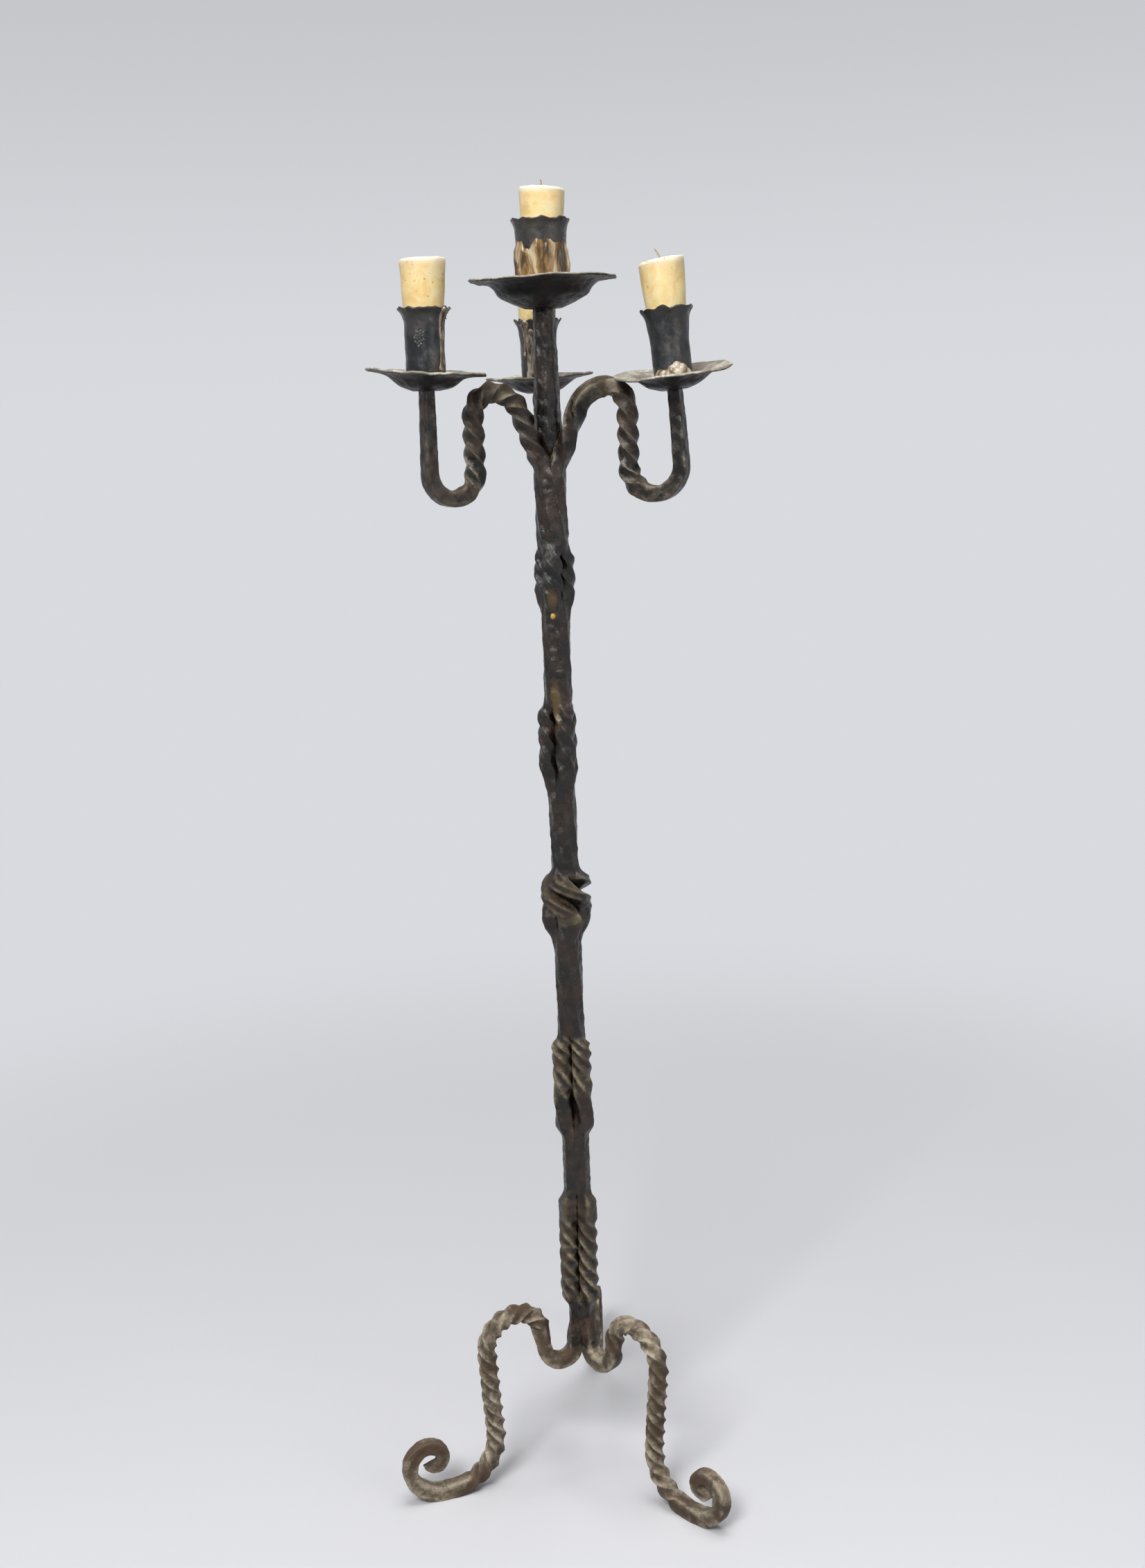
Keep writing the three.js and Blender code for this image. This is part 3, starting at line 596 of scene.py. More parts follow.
# middle of each patch from the stem's axis, its reach across and up, its strength
wornPatches = [
    ((4.3, -20.0, 711.5), 9, 7, 1.2),
    ((13.9, -18.0, 705.1), 8, 7, 0.6),
    ((-15.5, -18.0, 686.7), 9, 13, 0.9),
    ((6.8, -19.0, 676.7), 10, 8, 1.3),
    ((-5.5, -15.0, 422.9), 5, 10, 0.6),
    ((-15.0, -18.0, 306.0), 8, 30, 0.2),
    ((-2.5, -17.0, 1058.6), 6, 9, 0.12),
]
waxPatches = [
    ((-2.3, -17.0, 1026.7), 8, 18, 0.8),
    ((-3.6, -15.0, 917.4), 7, 24, 0.9),
    ((-0.9, -16.0, 890.5), 6, 8, 0.8),
]


def patched(points, patches):
    total = np.zeros(points.shape[:2])
    for middle, across, high, strength in patches:
        away = (((points - middle) / (across, across, high)) ** 2).sum(axis=2)
        total += strength * np.exp(-away)
    return total


def makeStemBar(name, azimuth, turn):
    size = stemSizes
    foot = {"z": legSizes["top"], "azimuth": 0, "twist": 0}
    stations = [stemStation(stretches[0], 0, foot)]
    for stretch in stretches:
        steps = math.ceil(stretch["length"] / size["step"])
        stations += [stemStation(stretch, (n + 1) / steps, foot) for n in range(steps)]
        foot["z"] += stretch["length"]
        foot["azimuth"] += stretch["sway"]
        foot["twist"] -= stretch.get("twist", 0)
    rings, middles, ridges, tans = [], [], [], []
    for s in stations:
        outward, across = radial(azimuth + s["azimuth"]), radial(azimuth + s["azimuth"] + 90)
        middle = upright(azimuth + s["azimuth"], s["off"], s["z"])
        u, v, corners = sectionRing(s, s["off"], 1, s["opened"], s["round"], turn)
        rings.append(middle + np.outer(u, outward) + np.outer(v, across))
        middles.append(middle)
        ridges.append(corners)
        low = float(ease((size["footHigh"] - s["z"]) / size["footFade"])) * size["footTan"]
        tans.append(np.full(sides, max(s["tan"], low)))
    rings = np.array(rings)
    built = rings, np.array(middles), np.array(ridges), np.array(tans) + patched(rings, wornPatches)
    wax = patched(rings, waxPatches)
    addBar("forgedStem_" + name, *built, stemIron, "stem_bar_" + name, "stem_iron", size["dent"], wax)


# arms; the twists are those of splay, inner crown, outer crown, drop and hook
armSizes = {
    "splayBend": 60, "splayTurn": 22, "crownInner": 36, "crownOuter": 24, "riserSide": 12.5,
    "upset": 1.04, "drawn": 0.88, "hookTwisted": 0.3, "dent": 0.6,
}
arms = {
    "right": {
        "splay": 48, "drop": 56, "hookBend": 29, "hookTurn": 183, "riser": 72, "riserTurn": 2.4,
        "twist": (120, 30, 160, 270, 140),
    },
    "back": {
        "splay": 46, "drop": 54, "hookBend": 29, "hookTurn": 182, "riser": 77, "riserTurn": 0,
        "twist": (120, 120, 140, 240, 100),
    },
    "left": {
        "splay": 46, "drop": 54, "hookBend": 26.5, "hookTurn": 181, "riser": 80, "riserTurn": 0,
        "twist": (200, 190, 170, 250, 90),
    },
}


def makeArm(name, azimuth, turn):
    size, arm = armSizes, arms[name]
    splay, inner, outer, down, hook = arm["twist"]
    full, drawn, riser = bar["half"] * size["upset"], bar["half"] * size["drawn"], size["riserSide"] / 2
    bend, hooked = arm["hookBend"], arm["hookTurn"] * size["hookTwisted"]
    stations = walk(dict(straight, r=bar["armStart"], z=stemTop, heading=90, tan=0.08), [
        {"bend": size["splayBend"], "turn": -size["splayTurn"], "tan": 0.2},
        {"run": arm["splay"], "twist": splay, "tan": 0.4, "deep": full, "wide": full},
        {"bend": size["crownInner"], "turn": size["splayTurn"] - 90, "twist": inner, "tan": 1},
        {"bend": size["crownOuter"], "turn": -90, "twist": outer, "tan": 0.55},
        {"run": arm["drop"], "twist": down, "tan": 0.25},
        {"bend": bend, "turn": hooked, "twist": hook, "tan": 0.5},
        {"bend": bend, "turn": arm["hookTurn"] - hooked, "deep": drawn, "wide": drawn, "tan": 0.3},
        {"run": arm["riser"], "turn": arm["riserTurn"], "deep": riser, "wide": riser, "tan": 0.05},
    ])
    weld = size["splayBend"] * math.radians(size["splayTurn"])
    built = walkedBar(stations, azimuth, 1, weld, bar["collarRadius"], bar["armStart"], turn)
    addBar("forgedArm_" + name, *built, armIron, "arm_" + name, "arm_iron", size["dent"])
    end = stations[-1]
    slope = math.radians(end["heading"])
    outward = upright(azimuth, math.sin(slope), -math.cos(slope))
    axis = upright(azimuth, math.cos(slope), math.sin(slope))
    basis = np.array([outward, radial(azimuth + 90), axis])
    return {"middle": upright(azimuth, end["r"], end["z"]), "basis": basis, "azimuth": azimuth}


armHeads = {}
for n, name in enumerate(["right", "back", "left"]):
    azimuth = stem["foot"] + n * stem["third"]
    makeLeg(name, azimuth, n * stem["third"])
    makeStemBar(name, azimuth, n * stem["third"])
    armHeads[name] = makeArm(name, azimuth + stemSway, n * stem["third"])
print("stage: bars")


# pans, cups and candles
def smoothed(points, per):  # a curve through all points, per steps to each
    pts = [np.array(p, float) for p in points]
    out = []
    for i in range(len(pts) - 1):
        p0, p1, p2, p3 = pts[max(0, i - 1)], pts[i], pts[i + 1], pts[min(len(pts) - 1, i + 2)]
        for k in range(per):
            t = k / per
            curve = (2 * p0 - 5 * p1 + 4 * p2 - p3) * t * t + (3 * p1 - p0 - 3 * p2 + p3) * t ** 3
            out.append(0.5 * (2 * p1 + (p2 - p0) * t + curve))
    out.append(pts[-1])
    return out


def inside(outline, walls):  # the same line, a wall further in
    out = []
    for i, p in enumerate(outline):
        a, b = outline[max(0, i - 1)], outline[min(len(outline) - 1, i + 1)]
        d = (b - a) / np.linalg.norm(b - a)
        out.append(p + np.array([-d[1], d[0]]) * walls[i])
    return out


def sheetWalls(form, places, edge):  # the sheet's thickness, upset towards its edge
    return [form["sheet"] + form["upset"] * float(ease((place - edge + 7) / 6)) for place in places]


def placedIn(head, points):
    return np.asarray(points, float) @ head["basis"] + head["middle"]


def spun(head, rows, steps, warp, closed=True):
    points, faces = [], []
    for r, z in rows:
        for k in range(steps):
            a = 2 * math.pi * k / steps
            wr, wz = warp(r, z, a)
            points.append([wr * math.cos(a), wr * math.sin(a), wz])
    count = len(rows)
    for i in range(count if closed else count - 1):
        j = (i + 1) % count
        for k in range(steps):
            m = (k + 1) % steps
            faces.append((i * steps + k, i * steps + m, j * steps + m, j * steps + k))
    if not closed:
        faces.append(tuple(range(steps - 1, -1, -1)))
        faces.append(tuple((count - 1) * steps + k for k in range(steps)))
    return placedIn(head, points), faces


# droop is the pan's, slant that of the candle's melted top, ruffles and bell are the cup's
heads = {
    "left": {
        "droop": 6, "droopTo": 325, "slant": 2, "slantTo": 180, "wick": 2.5, "wickLean": 0.5, "lean": 0,
        "ruffles": 13, "ruffle": 0.7, "bell": 0.2, "worn": 0.9,
    },
    "right": {
        "droop": 11, "droopTo": 268, "slant": 4.5, "slantTo": 180, "wick": 15, "wickLean": -5, "lean": 0,
        "ruffles": 10, "ruffle": 1.1, "bell": 0.5, "worn": 0.9,
    },
    "back": {
        "droop": 2.5, "droopTo": 200, "slant": 1, "slantTo": 0, "wick": 8, "wickLean": 1.5, "lean": 0,
        "ruffles": 11, "ruffle": 1.0, "bell": 0.4, "worn": 0.9,
    },
    "centre": {
        "droop": 1.5, "droopTo": 250, "slant": 3, "slantTo": 0, "wick": 11, "wickLean": -1, "lean": 1.5,
        "ruffles": 9, "ruffle": 1.0, "bell": 0.4, "worn": 0.54,
    },
}
panSizes = {
    "small": [[14, 0], [26, 4], [38, 12.5], [47, 15.4], [58.5, 16.8]],
    "large": [[20, 0], [35, 6.4], [46, 12.4], [50.6, 19.3], [56.6, 24.3], [66, 26.4], [74.5, 27.3]],
}
panForm = {
    "hole": 4.0, "seat": 0.3, "sheet": 1.6, "upset": 1.2, "lip": ([0.8, 0.6], [1.0, 1.5], [0.6, 2.4]),
    "fold": 0.7, "wave": 1.4, "waveWide": 26, "dent": 0.7, "dentWide": 9, "nick": 1.3, "nickRing": 60,
    "steps": 120,
}


def makePan(name, size, head, seed):
    style, form = heads[name], panForm
    foot, rim = panSizes[size][0][0], panSizes[size][-1][0]
    under = [np.array([form["hole"], 0.0])] + smoothed(panSizes[size], 7)
    upper = inside(under, sheetWalls(form, [p[0] for p in under], rim))
    lip = [under[-1] + step for step in form["lip"]]
    rows = [tuple(p) for p in under + lip + upper[::-1]]
    towards = math.radians(style["droopTo"] - head["azimuth"])

    def warp(r, z, a):
        toRim = max(0, r - foot) / (rim - foot)
        droop = math.tan(math.radians(style["droop"])) * (rim - foot) * toRim
        x, y = r * math.cos(a), r * math.sin(a)
        waves = form["fold"] * math.sin(3 * a + seed)
        waves += form["wave"] * rough((x, y, 0), form["waveWide"], seed)
        dent = rough((x, y, 0), form["dentWide"], seed) * form["dent"] * min(1, toRim * 3)
        onRing = (math.cos(a) * form["nickRing"], math.sin(a) * form["nickRing"], 0)
        nick = rough(onRing, form["dentWide"], seed) * form["nick"] * toRim ** 5
        return r + nick, z + form["seat"] - droop * math.cos(a - towards) + toRim ** 3 * waves + dent

    points, faces = spun(head, rows, form["steps"], warp)
    tan = np.repeat([0.0 if i < len(under) else style["worn"] for i in range(len(rows))], form["steps"])
    fields, node = {"tan": tan, "ridge": np.full(len(points), 0.2)}, "pan_" + name
    addPiece("dripPan_" + name, points, faces, panIron, node=node, sharp=50, fields=fields)


cupSizes = {
    "small": {"rim": 26.2, "waist": 19.5, "foot": 13, "belly": 14, "height": 76, "flare": 28},
    "large": {"rim": 30, "waist": 25.5, "foot": 18, "belly": 18, "height": 84, "flare": 26},
}
cupForm = {
    "hole": 4.0, "seat": 2.2, "sheet": 1.3, "upset": 0.7, "lip": ([-0.2, 0.9], [-1.0, 1.2]),
    "dent": 0.6, "dentWide": 12, "grain": 0.15, "grainWide": 4, "nick": 1.2, "nickWide": 7, "nickRing": 40,
    "rise": 1.2, "steps": 144,
}


def cupLine(name, size):  # the outside, from the foot up to the rim
    c, bell = cupSizes[size], heads[name]["bell"]
    waist, rim, belly, h, f = c["waist"], c["rim"], c["belly"], c["height"], c["flare"]
    return smoothed([
        [c["foot"], 0], [waist - 1.4, belly * 0.55], [waist, belly + 3], [waist, (belly + h - f) / 2],
        [waist + 0.2, h - f], [mix(waist, rim, 0.5 * bell), h - f / 2],
        [mix(waist, rim, 0.24 + bell * 0.6), h - f / 5], [rim, h],
    ], 7)


def makeCup(name, size, head, seed):
    style, form, h, half = heads[name], cupForm, cupSizes[size]["height"], cupSizes[size]["flare"] * 0.5
    outer = [np.array([form["hole"], 0.0])] + cupLine(name, size)
    inner = inside(outer, sheetWalls(form, [p[1] for p in outer], h))
    rows = [tuple(p) for p in outer + [outer[-1] + step for step in form["lip"]] + inner[::-1]]

    def warp(r, z, a):
        edge = float(np.clip((z - h + half) / half, 0, 1)) ** 2
        wave = math.cos(style["ruffles"] * a + 1.1 * math.sin(2 * a + seed))
        wave *= (0.7 + 0.5 * math.sin(3 * a + seed)) * style["ruffle"]
        onRing = (math.cos(a) * form["nickRing"], math.sin(a) * form["nickRing"], 0)
        nick = rough(onRing, form["nickWide"], seed) * form["nick"] * edge
        p = (r * math.cos(a), r * math.sin(a), z)
        dent = rough(p, form["dentWide"], seed) * form["dent"]
        dent += rough(p, form["grainWide"], seed) * form["grain"]
        return r + edge * wave + dent, z + form["seat"] + form["rise"] * edge * wave + nick

    points, faces = spun(head, rows, form["steps"], warp)
    fields, node = {"ridge": np.full(len(points), 0.1)}, "cup_" + name
    addPiece("candleCup_" + name, points, faces, cupIron, node=node, sharp=55, fields=fields)


candleSizes = {
    "small": {"top": 23, "mouth": 20, "bottom": 17.2, "rise": 48},
    "large": {"top": 23.5, "mouth": 22, "bottom": 21.5, "rise": 31},
}
candleForm = {
    "sheet": 1.6, "play": 0.3, "pool": 1.2, "lump": 0.7, "lumpWide": 13, "lip": 0.8, "lipWide": 7,
    "steps": 84,
}
wick = {
    "rings": 15, "sides": 9, "radius": 1.15, "taper": 0.35, "plait": 0.12, "plaits": 40, "sag": 0.12,
    "deep": 3, "turn": 60,
}


def seatHeight(size):  # where the candle's edge meets the cup's sloping wall
    c, form = cupSizes[size], candleForm
    floor = c["foot"] - 0.7
    share = (candleSizes[size]["bottom"] + form["play"] - floor) / (c["waist"] - form["sheet"] - floor)
    return cupForm["seat"] + mix(form["sheet"], c["belly"] + 0.6, share)


def candleLine(size, seat, wax, pool):
    c, k, rim = cupSizes[size], candleSizes[size], cupForm["seat"] + cupSizes[size]["height"]
    top = k["top"]
    side = smoothed([
        [k["bottom"], seat], [min(c["waist"] - 1.9, k["bottom"] + 0.4), rim - c["flare"]],
        [k["mouth"], rim], [mix(k["mouth"], top, 0.55), wax - k["rise"] * 0.45], [top, wax - 3],
    ], 7)
    crown = smoothed([
        [top, wax - 3], [top - 0.4, wax - 0.8], [top - 1.6, wax - 0.1], [top - 4.2, wax - 0.8],
        [top / 2, pool - 0.6], [3.0, pool + 0.1], [1.0, pool + 0.5],
    ], 5)
    return [tuple(p) for p in side + crown[1:]]


def makeCandle(name, size, head, seed):
    k, style, form = candleSizes[size], heads[name], candleForm
    wax = cupForm["seat"] + cupSizes[size]["height"] + k["rise"]
    seat, pool = seatHeight(size), wax - form["pool"]
    towards = math.radians(style["slantTo"] - head["azimuth"])

    def warp(r, z, a):
        slanted = math.tan(math.radians(style["slant"])) * r * math.cos(a - towards)
        x, y = r * math.cos(a), r * math.sin(a)
        lump = rough((x, y, z * 0.6), form["lumpWide"], seed) * form["lump"]
        lip = rough((x, y, 0), form["lipWide"], seed) * form["lip"]
        lip *= float(ease((z - pool + 3) / 3)) * float(ease(r / 12))
        return r + (lump if r > 6 else 0), z - slanted * float(ease((z - pool + 4) / 4)) + lip

    lean = math.radians(style["lean"])
    turn = np.array([[math.cos(lean), 0, -math.sin(lean)], [0, 1, 0], [math.sin(lean), 0, math.cos(lean)]])

    def stood(p):
        return placedIn(head, (p - [0, 0, seat]) @ turn + [0, 0, seat + k["bottom"] * math.sin(lean)])

    body = "candle_" + name + "_lifts"
    plumb = {"middle": np.zeros(3), "basis": np.eye(3)}
    points, faces = spun(plumb, candleLine(size, seat, wax, pool), form["steps"], warp, closed=False)
    # the ridge field marks the candle's top, for its paler wax and painted highlight
    fields, node = {"ridge": ease((points[:, 2] - wax + 9) / 8)}, "candle_" + name
    addPiece("stubCandle_" + name, stood(points), faces, tallow, body, node, 60, fields)
    points, faces = wickShape(style, pool)
    addPiece("burntWick_" + name, stood(points), faces, cotton, body, "wick_" + name)


def wickShape(style, pool):
    rings, deep = [], wick["deep"]
    for t in np.linspace(0, 1, wick["rings"]):
        reach = style["wickLean"] * t * t
        height = pool - deep + (style["wick"] + deep) * (t - wick["sag"] * t * t)
        thick = wick["radius"] * (1 - wick["taper"] * t) * (1 + wick["plait"] * math.sin(t * wick["plaits"]))
        middle = np.array([reach, reach / 3, height])
        turns = [360 / wick["sides"] * m + wick["turn"] * t for m in range(wick["sides"])]
        rings.append([middle + thick * radial(degrees) for degrees in turns])
    return np.array(rings).reshape(-1, 3), loftFaces(wick["rings"], wick["sides"])


# the centre post, with its flats by turns a little nearer
post = {
    "radius": 14.6, "neck": 11.2, "length": 170, "tang": 30, "tangShare": 0.6, "flats": (0.96, 0.92),
    "phase": 22, "tan": 0.05, "dent": 0.7,
}


def makePost():
    splay, bend = math.radians(armSizes["splayTurn"]), armSizes["splayBend"]
    slope = math.radians(90 - armSizes["splayTurn"])
    splayZ = stemTop + bend * math.sin(splay)
    foot = bar["armStart"] + bend * (1 - math.cos(splay)) - bar["half"] / math.sin(slope)
    shoulder = splayZ + (post["radius"] - foot) * math.tan(slope)
    top, low = stemTop + post["length"], splayZ - post["tang"]
    levels = [low, splayZ, shoulder, top]
    radii = [foot * post["tangShare"], foot, post["radius"], post["neck"]]
    rings, middles = [], []
    for z in np.concatenate([np.linspace(low, shoulder, 24), np.linspace(shoulder + 2, top, 64)]):
        wide = np.interp(z, levels, radii)
        angles = [math.radians(k * 360 / facets["count"] + post["phase"]) for k in range(facets["count"])]
        reach = facetReach([(theta, wide * post["flats"][k % 2]) for k, theta in enumerate(angles)])
        rings.append(np.stack([reach * np.cos(phis), reach * np.sin(phis), np.full(sides, z)], 1))
        middles.append([0, 0, z])
    ridges = np.zeros((len(rings), sides))
    built = np.array(rings), np.array(middles), ridges, ridges + post["tan"]
    addBar("forgedPost", *built, stemIron, "centre_post", "stem_iron", post["dent"])
    return {"middle": np.array([0.0, 0.0, top]), "basis": np.eye(3), "azimuth": 0}


armHeads["centre"] = makePost()
for n, name in enumerate(["left", "right", "back", "centre"]):
    size = "large" if name == "centre" else "small"
    seed = 1.7 + n * 3.1
    makePan(name, size, armHeads[name], seed)
    makeCup(name, size, armHeads[name], seed)
    makeCandle(name, size, armHeads[name], seed)
print("stage: heads")


# set wax
def wallAt(name, size, height):
    line = np.array(cupLine(name, size))
    return float(np.interp(height - cupForm["seat"], line[:, 1], line[:, 0]))


# each rib has its angle in radians, its width in degrees and its thickness
waxCoat = {
    "low": 14, "high": 63, "most": 74, "rows": 40, "steps": 168, "under": -0.4, "thin": 0.2, "film": 0.5,
    "ribs": [
        (-2.9, 9, 2.4), (-2.35, 14, 1.2), (-1.75, 7, 1.6), (-1.3, 12, 0.9), (-0.75, 6, 1.7),
        (-0.25, 9, 2.5), (0.6, 10, 1.6), (1.4, 8, 2.0), (2.2, 12, 1.4),
    ],
}


def ribsAt(a):
    total = 0
    for at, wide, thick in waxCoat["ribs"]:
        away = math.degrees(abs((a - at + math.pi) % (2 * math.pi) - math.pi))
        total += thick * math.exp(-(away / wide) ** 2)
    return total


def makeWaxCoat(head):
    coat = waxCoat
    rows = [(0, 0.0)] + [(1, t) for t in np.linspace(0, 1, coat["rows"])] + [(0, 1.0)]

    def warp(out, t, a):
        around = ribsAt(a)
        edge = (math.cos(a), math.sin(a), 0.0)
        top = coat["high"] + 1.2 * (around - 1.0) + 13 * rough(edge, 0.55, 2.2) + 4 * rough(edge, 0.17, 5.0)
        bottom = coat["low"] + 3 * rough(edge, 0.3, 7.0)
        height = mix(bottom, min(coat["most"], top), t)
        lumps = rough((edge[0] * 26, edge[1] * 26, height * 0.5), 6, 1.0)
        swell = 0.8 + around * (0.7 + 0.3 * t) + 1.3 * lumps
        swell *= float(ease(t * 5)) * float(ease((1 - t) * 6))
        thick = max(coat["thin"], swell + coat["film"]) if out else coat["under"]
        return wallAt("centre", "large", height) + thick, height

    points, faces = spun(head, rows, coat["steps"], warp)
    addPiece("waxCoat_centre_set", points, faces, amberWax, node="wax_coat_centre")


# plan angle in degrees, heights, width and thickness of each run
runs = {
    "left": [(325, 16, 80, 3.2, 1.5), (336, 24, 79, 3.2, 1.3), (343, 68, 78.5, 5.0, 2.0)],
    "back": [
        (238, 14, 79, 5.0, 2.0), (250, 20, 70, 4.0, 1.6), (224, 40, 76, 3.0, 1.2), (60, 18, 62, 6.0, 2.0),
    ],
}
runForm = {"rows": 44, "around": 16, "sunk": 0.15, "flat": 0.8, "bead": 0.55, "head": 0.7, "end": 0.04}
# a patch of grains in a spiral, spiral being its step in radians
crusts = {
    "left": {
        "turn": 258, "height": 51, "wide": 15, "high": 8.5, "count": 18, "grain": 2.4, "thick": 0.45,
        "spiral": 2.4,
    },
}


def crustGrains(name):
    grains = []
    if name in crusts:
        patch = crusts[name]
        for k in range(patch["count"]):
            reach, a, half = math.sqrt((k + 0.5) / patch["count"]), patch["spiral"] * k, patch["grain"] / 2
            middle = patch["height"] + patch["high"] * reach * math.sin(a)
            turn = patch["turn"] + patch["wide"] * reach * math.cos(a)
            grains.append((turn, middle - half, middle + half, patch["grain"], patch["thick"]))
    return grains


def waxRun(name, head, run):
    turn, low, high, wide, thick = run
    points, form = [], runForm
    for t in np.linspace(0, 1, form["rows"]):
        height = mix(low, high, t)
        wander = 1.6 * math.sin(t * 7 + turn) + 1.2 * rough((turn, t * 9, 0), 1.7)
        bead = form["bead"] * math.exp(-((t - 0.06) / 0.07) ** 2)  # where the run came to rest
        drop = 1 + bead + form["head"] * math.exp(-((t - 0.95) / 0.06) ** 2)
        end = math.sqrt(max(0.02, min(1, t / form["end"], (1 - t) / form["end"])))
        swell = drop * end * (1 + 0.3 * rough((t * 12, turn, 1), 1.3))
        azimuth = turn - head["azimuth"] + wander
        wall, side = wallAt(name, "small", height), radial(azimuth + 90)
        for m in range(form["around"]):
            b = 2 * math.pi * m / form["around"]
            away = wall + thick * (form["sunk"] + form["flat"] * swell * math.cos(b))
            points.append(upright(azimuth, away, height) + side * wide / 2 * swell * math.sin(b))
    return points


def makeWaxRuns(name, head):
    points, faces, rows, around = [], [], runForm["rows"], runForm["around"]
    for run in runs[name] + crustGrains(name):
        faces += loftFaces(rows, around, len(points))
        points += waxRun(name, head, run)
    title, node = "waxRun_" + name + "_set", "wax_run_" + name
    piece = addPiece(title, placedIn(head, points), faces, paleWax, node=node)
    piece.data.materials.append(crustWax)
    for face in piece.data.polygons:
        if face.vertices[0] >= len(runs[name]) * rows * around:
            face.material_index = 1


def balls(placed):  # each a place, a stretch and a radius
    bm = bmesh.new()
    for place, stretch, radius in placed:
        where = Matrix.Translation(place) @ Matrix.Diagonal((*stretch, 1.0))
        bmesh.ops.create_icosphere(bm, subdivisions=3, radius=radius, matrix=where)
    points = [v.co[:] for v in bm.verts]
    faces = [tuple(v.index for v in f.verts) for f in bm.faces]
    bm.free()
    return points, faces


# each lump has its plan angle from the front, its distance and height, and its radius
waxClump = {
    "stretch": (1.0, 1.0, 1.15), "voxel": 0.0007, "rounds": 5, "soft": 0.5,
    "lumps": [
        (-54, 19, 13, 4.4), (-42, 20, 15, 4.8), (-29, 20.5, 14, 5.2), (-17, 21, 13, 5.6), (-6, 21, 17, 5.2),
        (6, 21.5, 13, 6), (9, 20.5, 21, 5.0), (21, 21, 18, 5.8), (34, 20.5, 14, 5.2), (46, 19, 13, 4.6),
    ],
}


def makeWaxClump(head):
    placed = []
    for turn, r, z, radius in waxClump["lumps"]:
        placed.append((upright(270 - head["azimuth"] + turn, r, z), waxClump["stretch"], radius))
    points, faces = balls(placed)
    points = placedIn(head, points)
    piece = addPiece("waxClump_right_set", points, faces, paleWax, node="wax_run_right")
    remesh = piece.modifiers.new("merge", "REMESH")
    remesh.mode = "VOXEL"
    remesh.voxel_size = waxClump["voxel"]
    remesh.use_smooth_shade = True
    smooth = piece.modifiers.new("soften", "SMOOTH")
    smooth.iterations = waxClump["rounds"]
    smooth.factor = waxClump["soft"]


waxBead = {"place": (-2.3, -15.2, 1006.3), "stretch": (1.1, 0.9, 1.25), "radius": 2.8}


def makeWaxBead():
    points, faces = balls([(waxBead["place"], waxBead["stretch"], waxBead["radius"])])
    addPiece("waxBead_stem_set", points, faces, honeyWax)


makeWaxCoat(armHeads["centre"])
makeWaxRuns("left", armHeads["left"])
makeWaxRuns("back", armHeads["back"])
makeWaxClump(armHeads["right"])
makeWaxBead()
print("stage: wax")

# ground, light and camera, in metres; the ground's far part has the colour of the horizon
ground = {
    "wide": 60.0, "sides": 96, "fadeFrom": 0.3, "fadeTo": 2.1, "near": rgb(0.74, 0.74, 0.765),
    "bounce": rgb(0.2, 0.2, 0.2), "tint": rgb(0.88, 0.9, 0.94), "horizon": 0.78, "above": 0.6, "climb": 0.3,
    "ambient": 0.17,
}


def shown(g):  # the ground and sky are pale only to the camera and in reflections
    path = g.node("ShaderNodeLightPath").outputs
    seen = g.math("ADD", path["Is Camera Ray"], path["Is Glossy Ray"], clamp=True)
    return g.math("ADD", seen, path["Is Transmission Ray"], clamp=True)


def makeStage():
    points = [tuple(ground["wide"] * radial(360 * k / ground["sides"])) for k in range(ground["sides"])]
    mesh = bpy.data.meshes.new("floorSweep")
    mesh.from_pydata(points, [], [tuple(range(ground["sides"]))])
    floor = bpy.data.objects.new("floorSweep", mesh)
    scene.collection.objects.link(floor)
    material, g, surface = newMaterial("paleFloor")
    seen, black = shown(g), rgb(0, 0, 0)
    where = g.node("ShaderNodeTexCoord").outputs["Object"]
    middle = g.node("ShaderNodeVectorMath", {0: where}, operation="LENGTH").outputs["Value"]
    far = g.span(middle, ground["fadeFrom"], ground["fadeTo"])
    near = g.blend(seen, ground["bounce"], ground["near"])
    g.tree.links.new(g.blend(far, near, black), surface.inputs["Base Color"])
    horizon = rgb(*(ground["horizon"] * c for c in ground["tint"][:3]))
    g.tree.links.new(g.blend(g.times(far, seen), black, horizon), surface.inputs["Emission Color"])
    surface.inputs["Emission Strength"].default_value = 1
    surface.inputs["Roughness"].default_value = 0.85
    surface.inputs["Specular IOR Level"].default_value = 0
    mesh.materials.append(material)


lamps = {
    "key": {"where": (-0.9, -2.5, 2.9), "towards": (0, 0, 0.8), "size": (1.2, 1.2), "power": 88},
    "fill": {"where": (2.2, -2.2, 1.5), "towards": (0, 0, 0.8), "size": (1.0, 2.0), "power": 14},
    "top": {"where": (0.2, -0.3, 3.5), "towards": (0, 0, 0), "size": (2.2, 1.8), "power": 60},
}


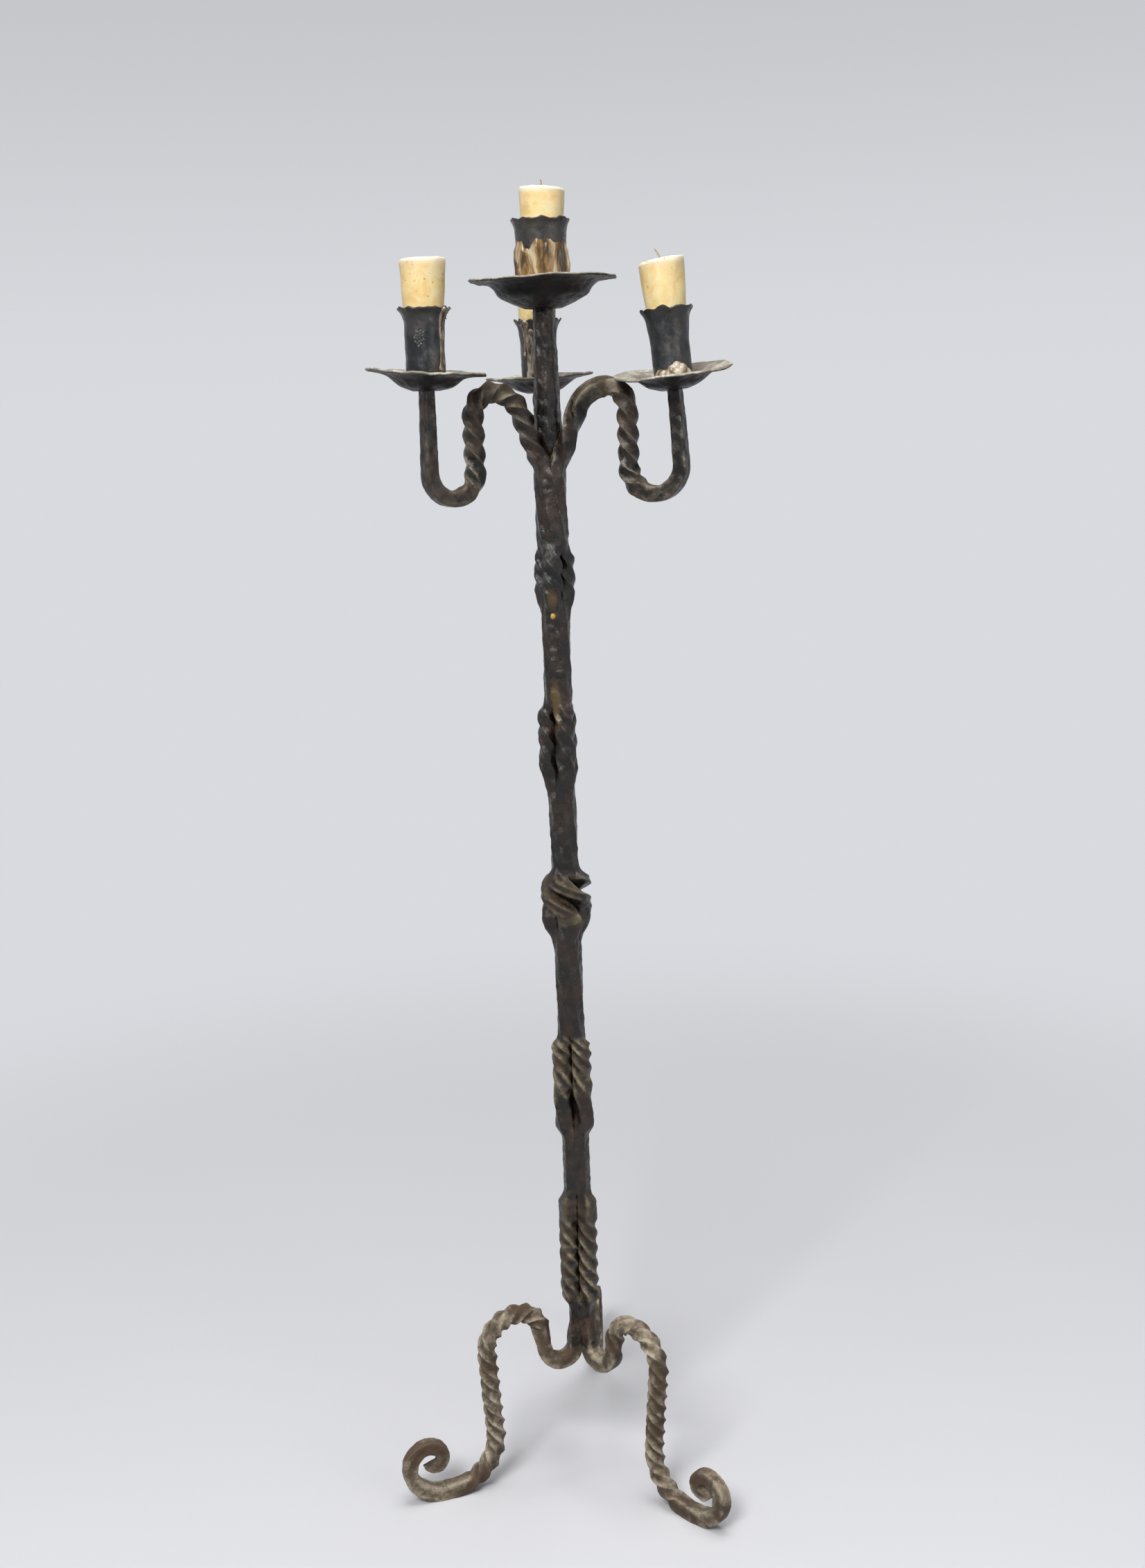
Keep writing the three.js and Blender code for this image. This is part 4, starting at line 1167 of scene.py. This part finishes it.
def makeLamp(name):
    lamp = lamps[name]
    data = bpy.data.lights.new(name, "AREA")
    data.shape = "RECTANGLE"
    data.size, data.size_y = lamp["size"]
    data.energy = lamp["power"]
    light = bpy.data.objects.new(name, data)
    light.location = lamp["where"]
    beam = Vector(lamp["towards"]) - Vector(lamp["where"])
    light.rotation_euler = beam.to_track_quat("-Z", "Y").to_euler()
    scene.collection.objects.link(light)


def makeSky():
    world = bpy.data.worlds.new("studio")
    world.use_nodes = True
    sky = world.node_tree.nodes["Background"].inputs
    sky["Color"].default_value = ground["tint"]
    g = Graph(world.node_tree)
    where = g.node("ShaderNodeTexCoord").outputs["Generated"]
    up = g.node("ShaderNodeSeparateXYZ", {"Vector": where}).outputs["Z"]
    backdrop = g.span(up, 0.0, ground["climb"], ground["horizon"], ground["above"])
    extra = g.times(shown(g), g.math("SUBTRACT", backdrop, ground["ambient"]))
    g.tree.links.new(g.math("ADD", extra, ground["ambient"]), sky["Strength"])
    scene.world = world


# the camera fitted to the photo: millimetres from the stem's axis, focal, width and drop in its pixels
view = {
    "across": 11.52, "back": -1838.8, "high": 1206, "roll": 2.13, "focal": 2500, "width": 1652, "drop": 522,
}


def makeCamera():
    data = bpy.data.cameras.new("camera")
    data.sensor_fit = "HORIZONTAL"
    data.sensor_width = 36
    data.lens = view["focal"] / view["width"] * data.sensor_width
    camera = bpy.data.objects.new("camera", data)
    scene.collection.objects.link(camera)
    scene.camera = camera
    pitch, roll = math.atan2(view["drop"], view["focal"]), math.radians(view["roll"])
    forward = Vector((0, math.cos(pitch), -math.sin(pitch)))
    level = Vector((1, 0, 0))
    drop = forward.cross(level)
    right = level * math.cos(roll) + drop * math.sin(roll)
    down = drop * math.cos(roll) - level * math.sin(roll)
    turned = Matrix((right, -down, -forward)).transposed().to_4x4()
    turned.translation = Vector((stem["x"] + view["across"], stem["y"] + view["back"], view["high"])) / 1000
    camera.matrix_world = turned


makeStage()
for name in lamps:
    makeLamp(name)
makeSky()
makeCamera()
print("stage: light and camera")
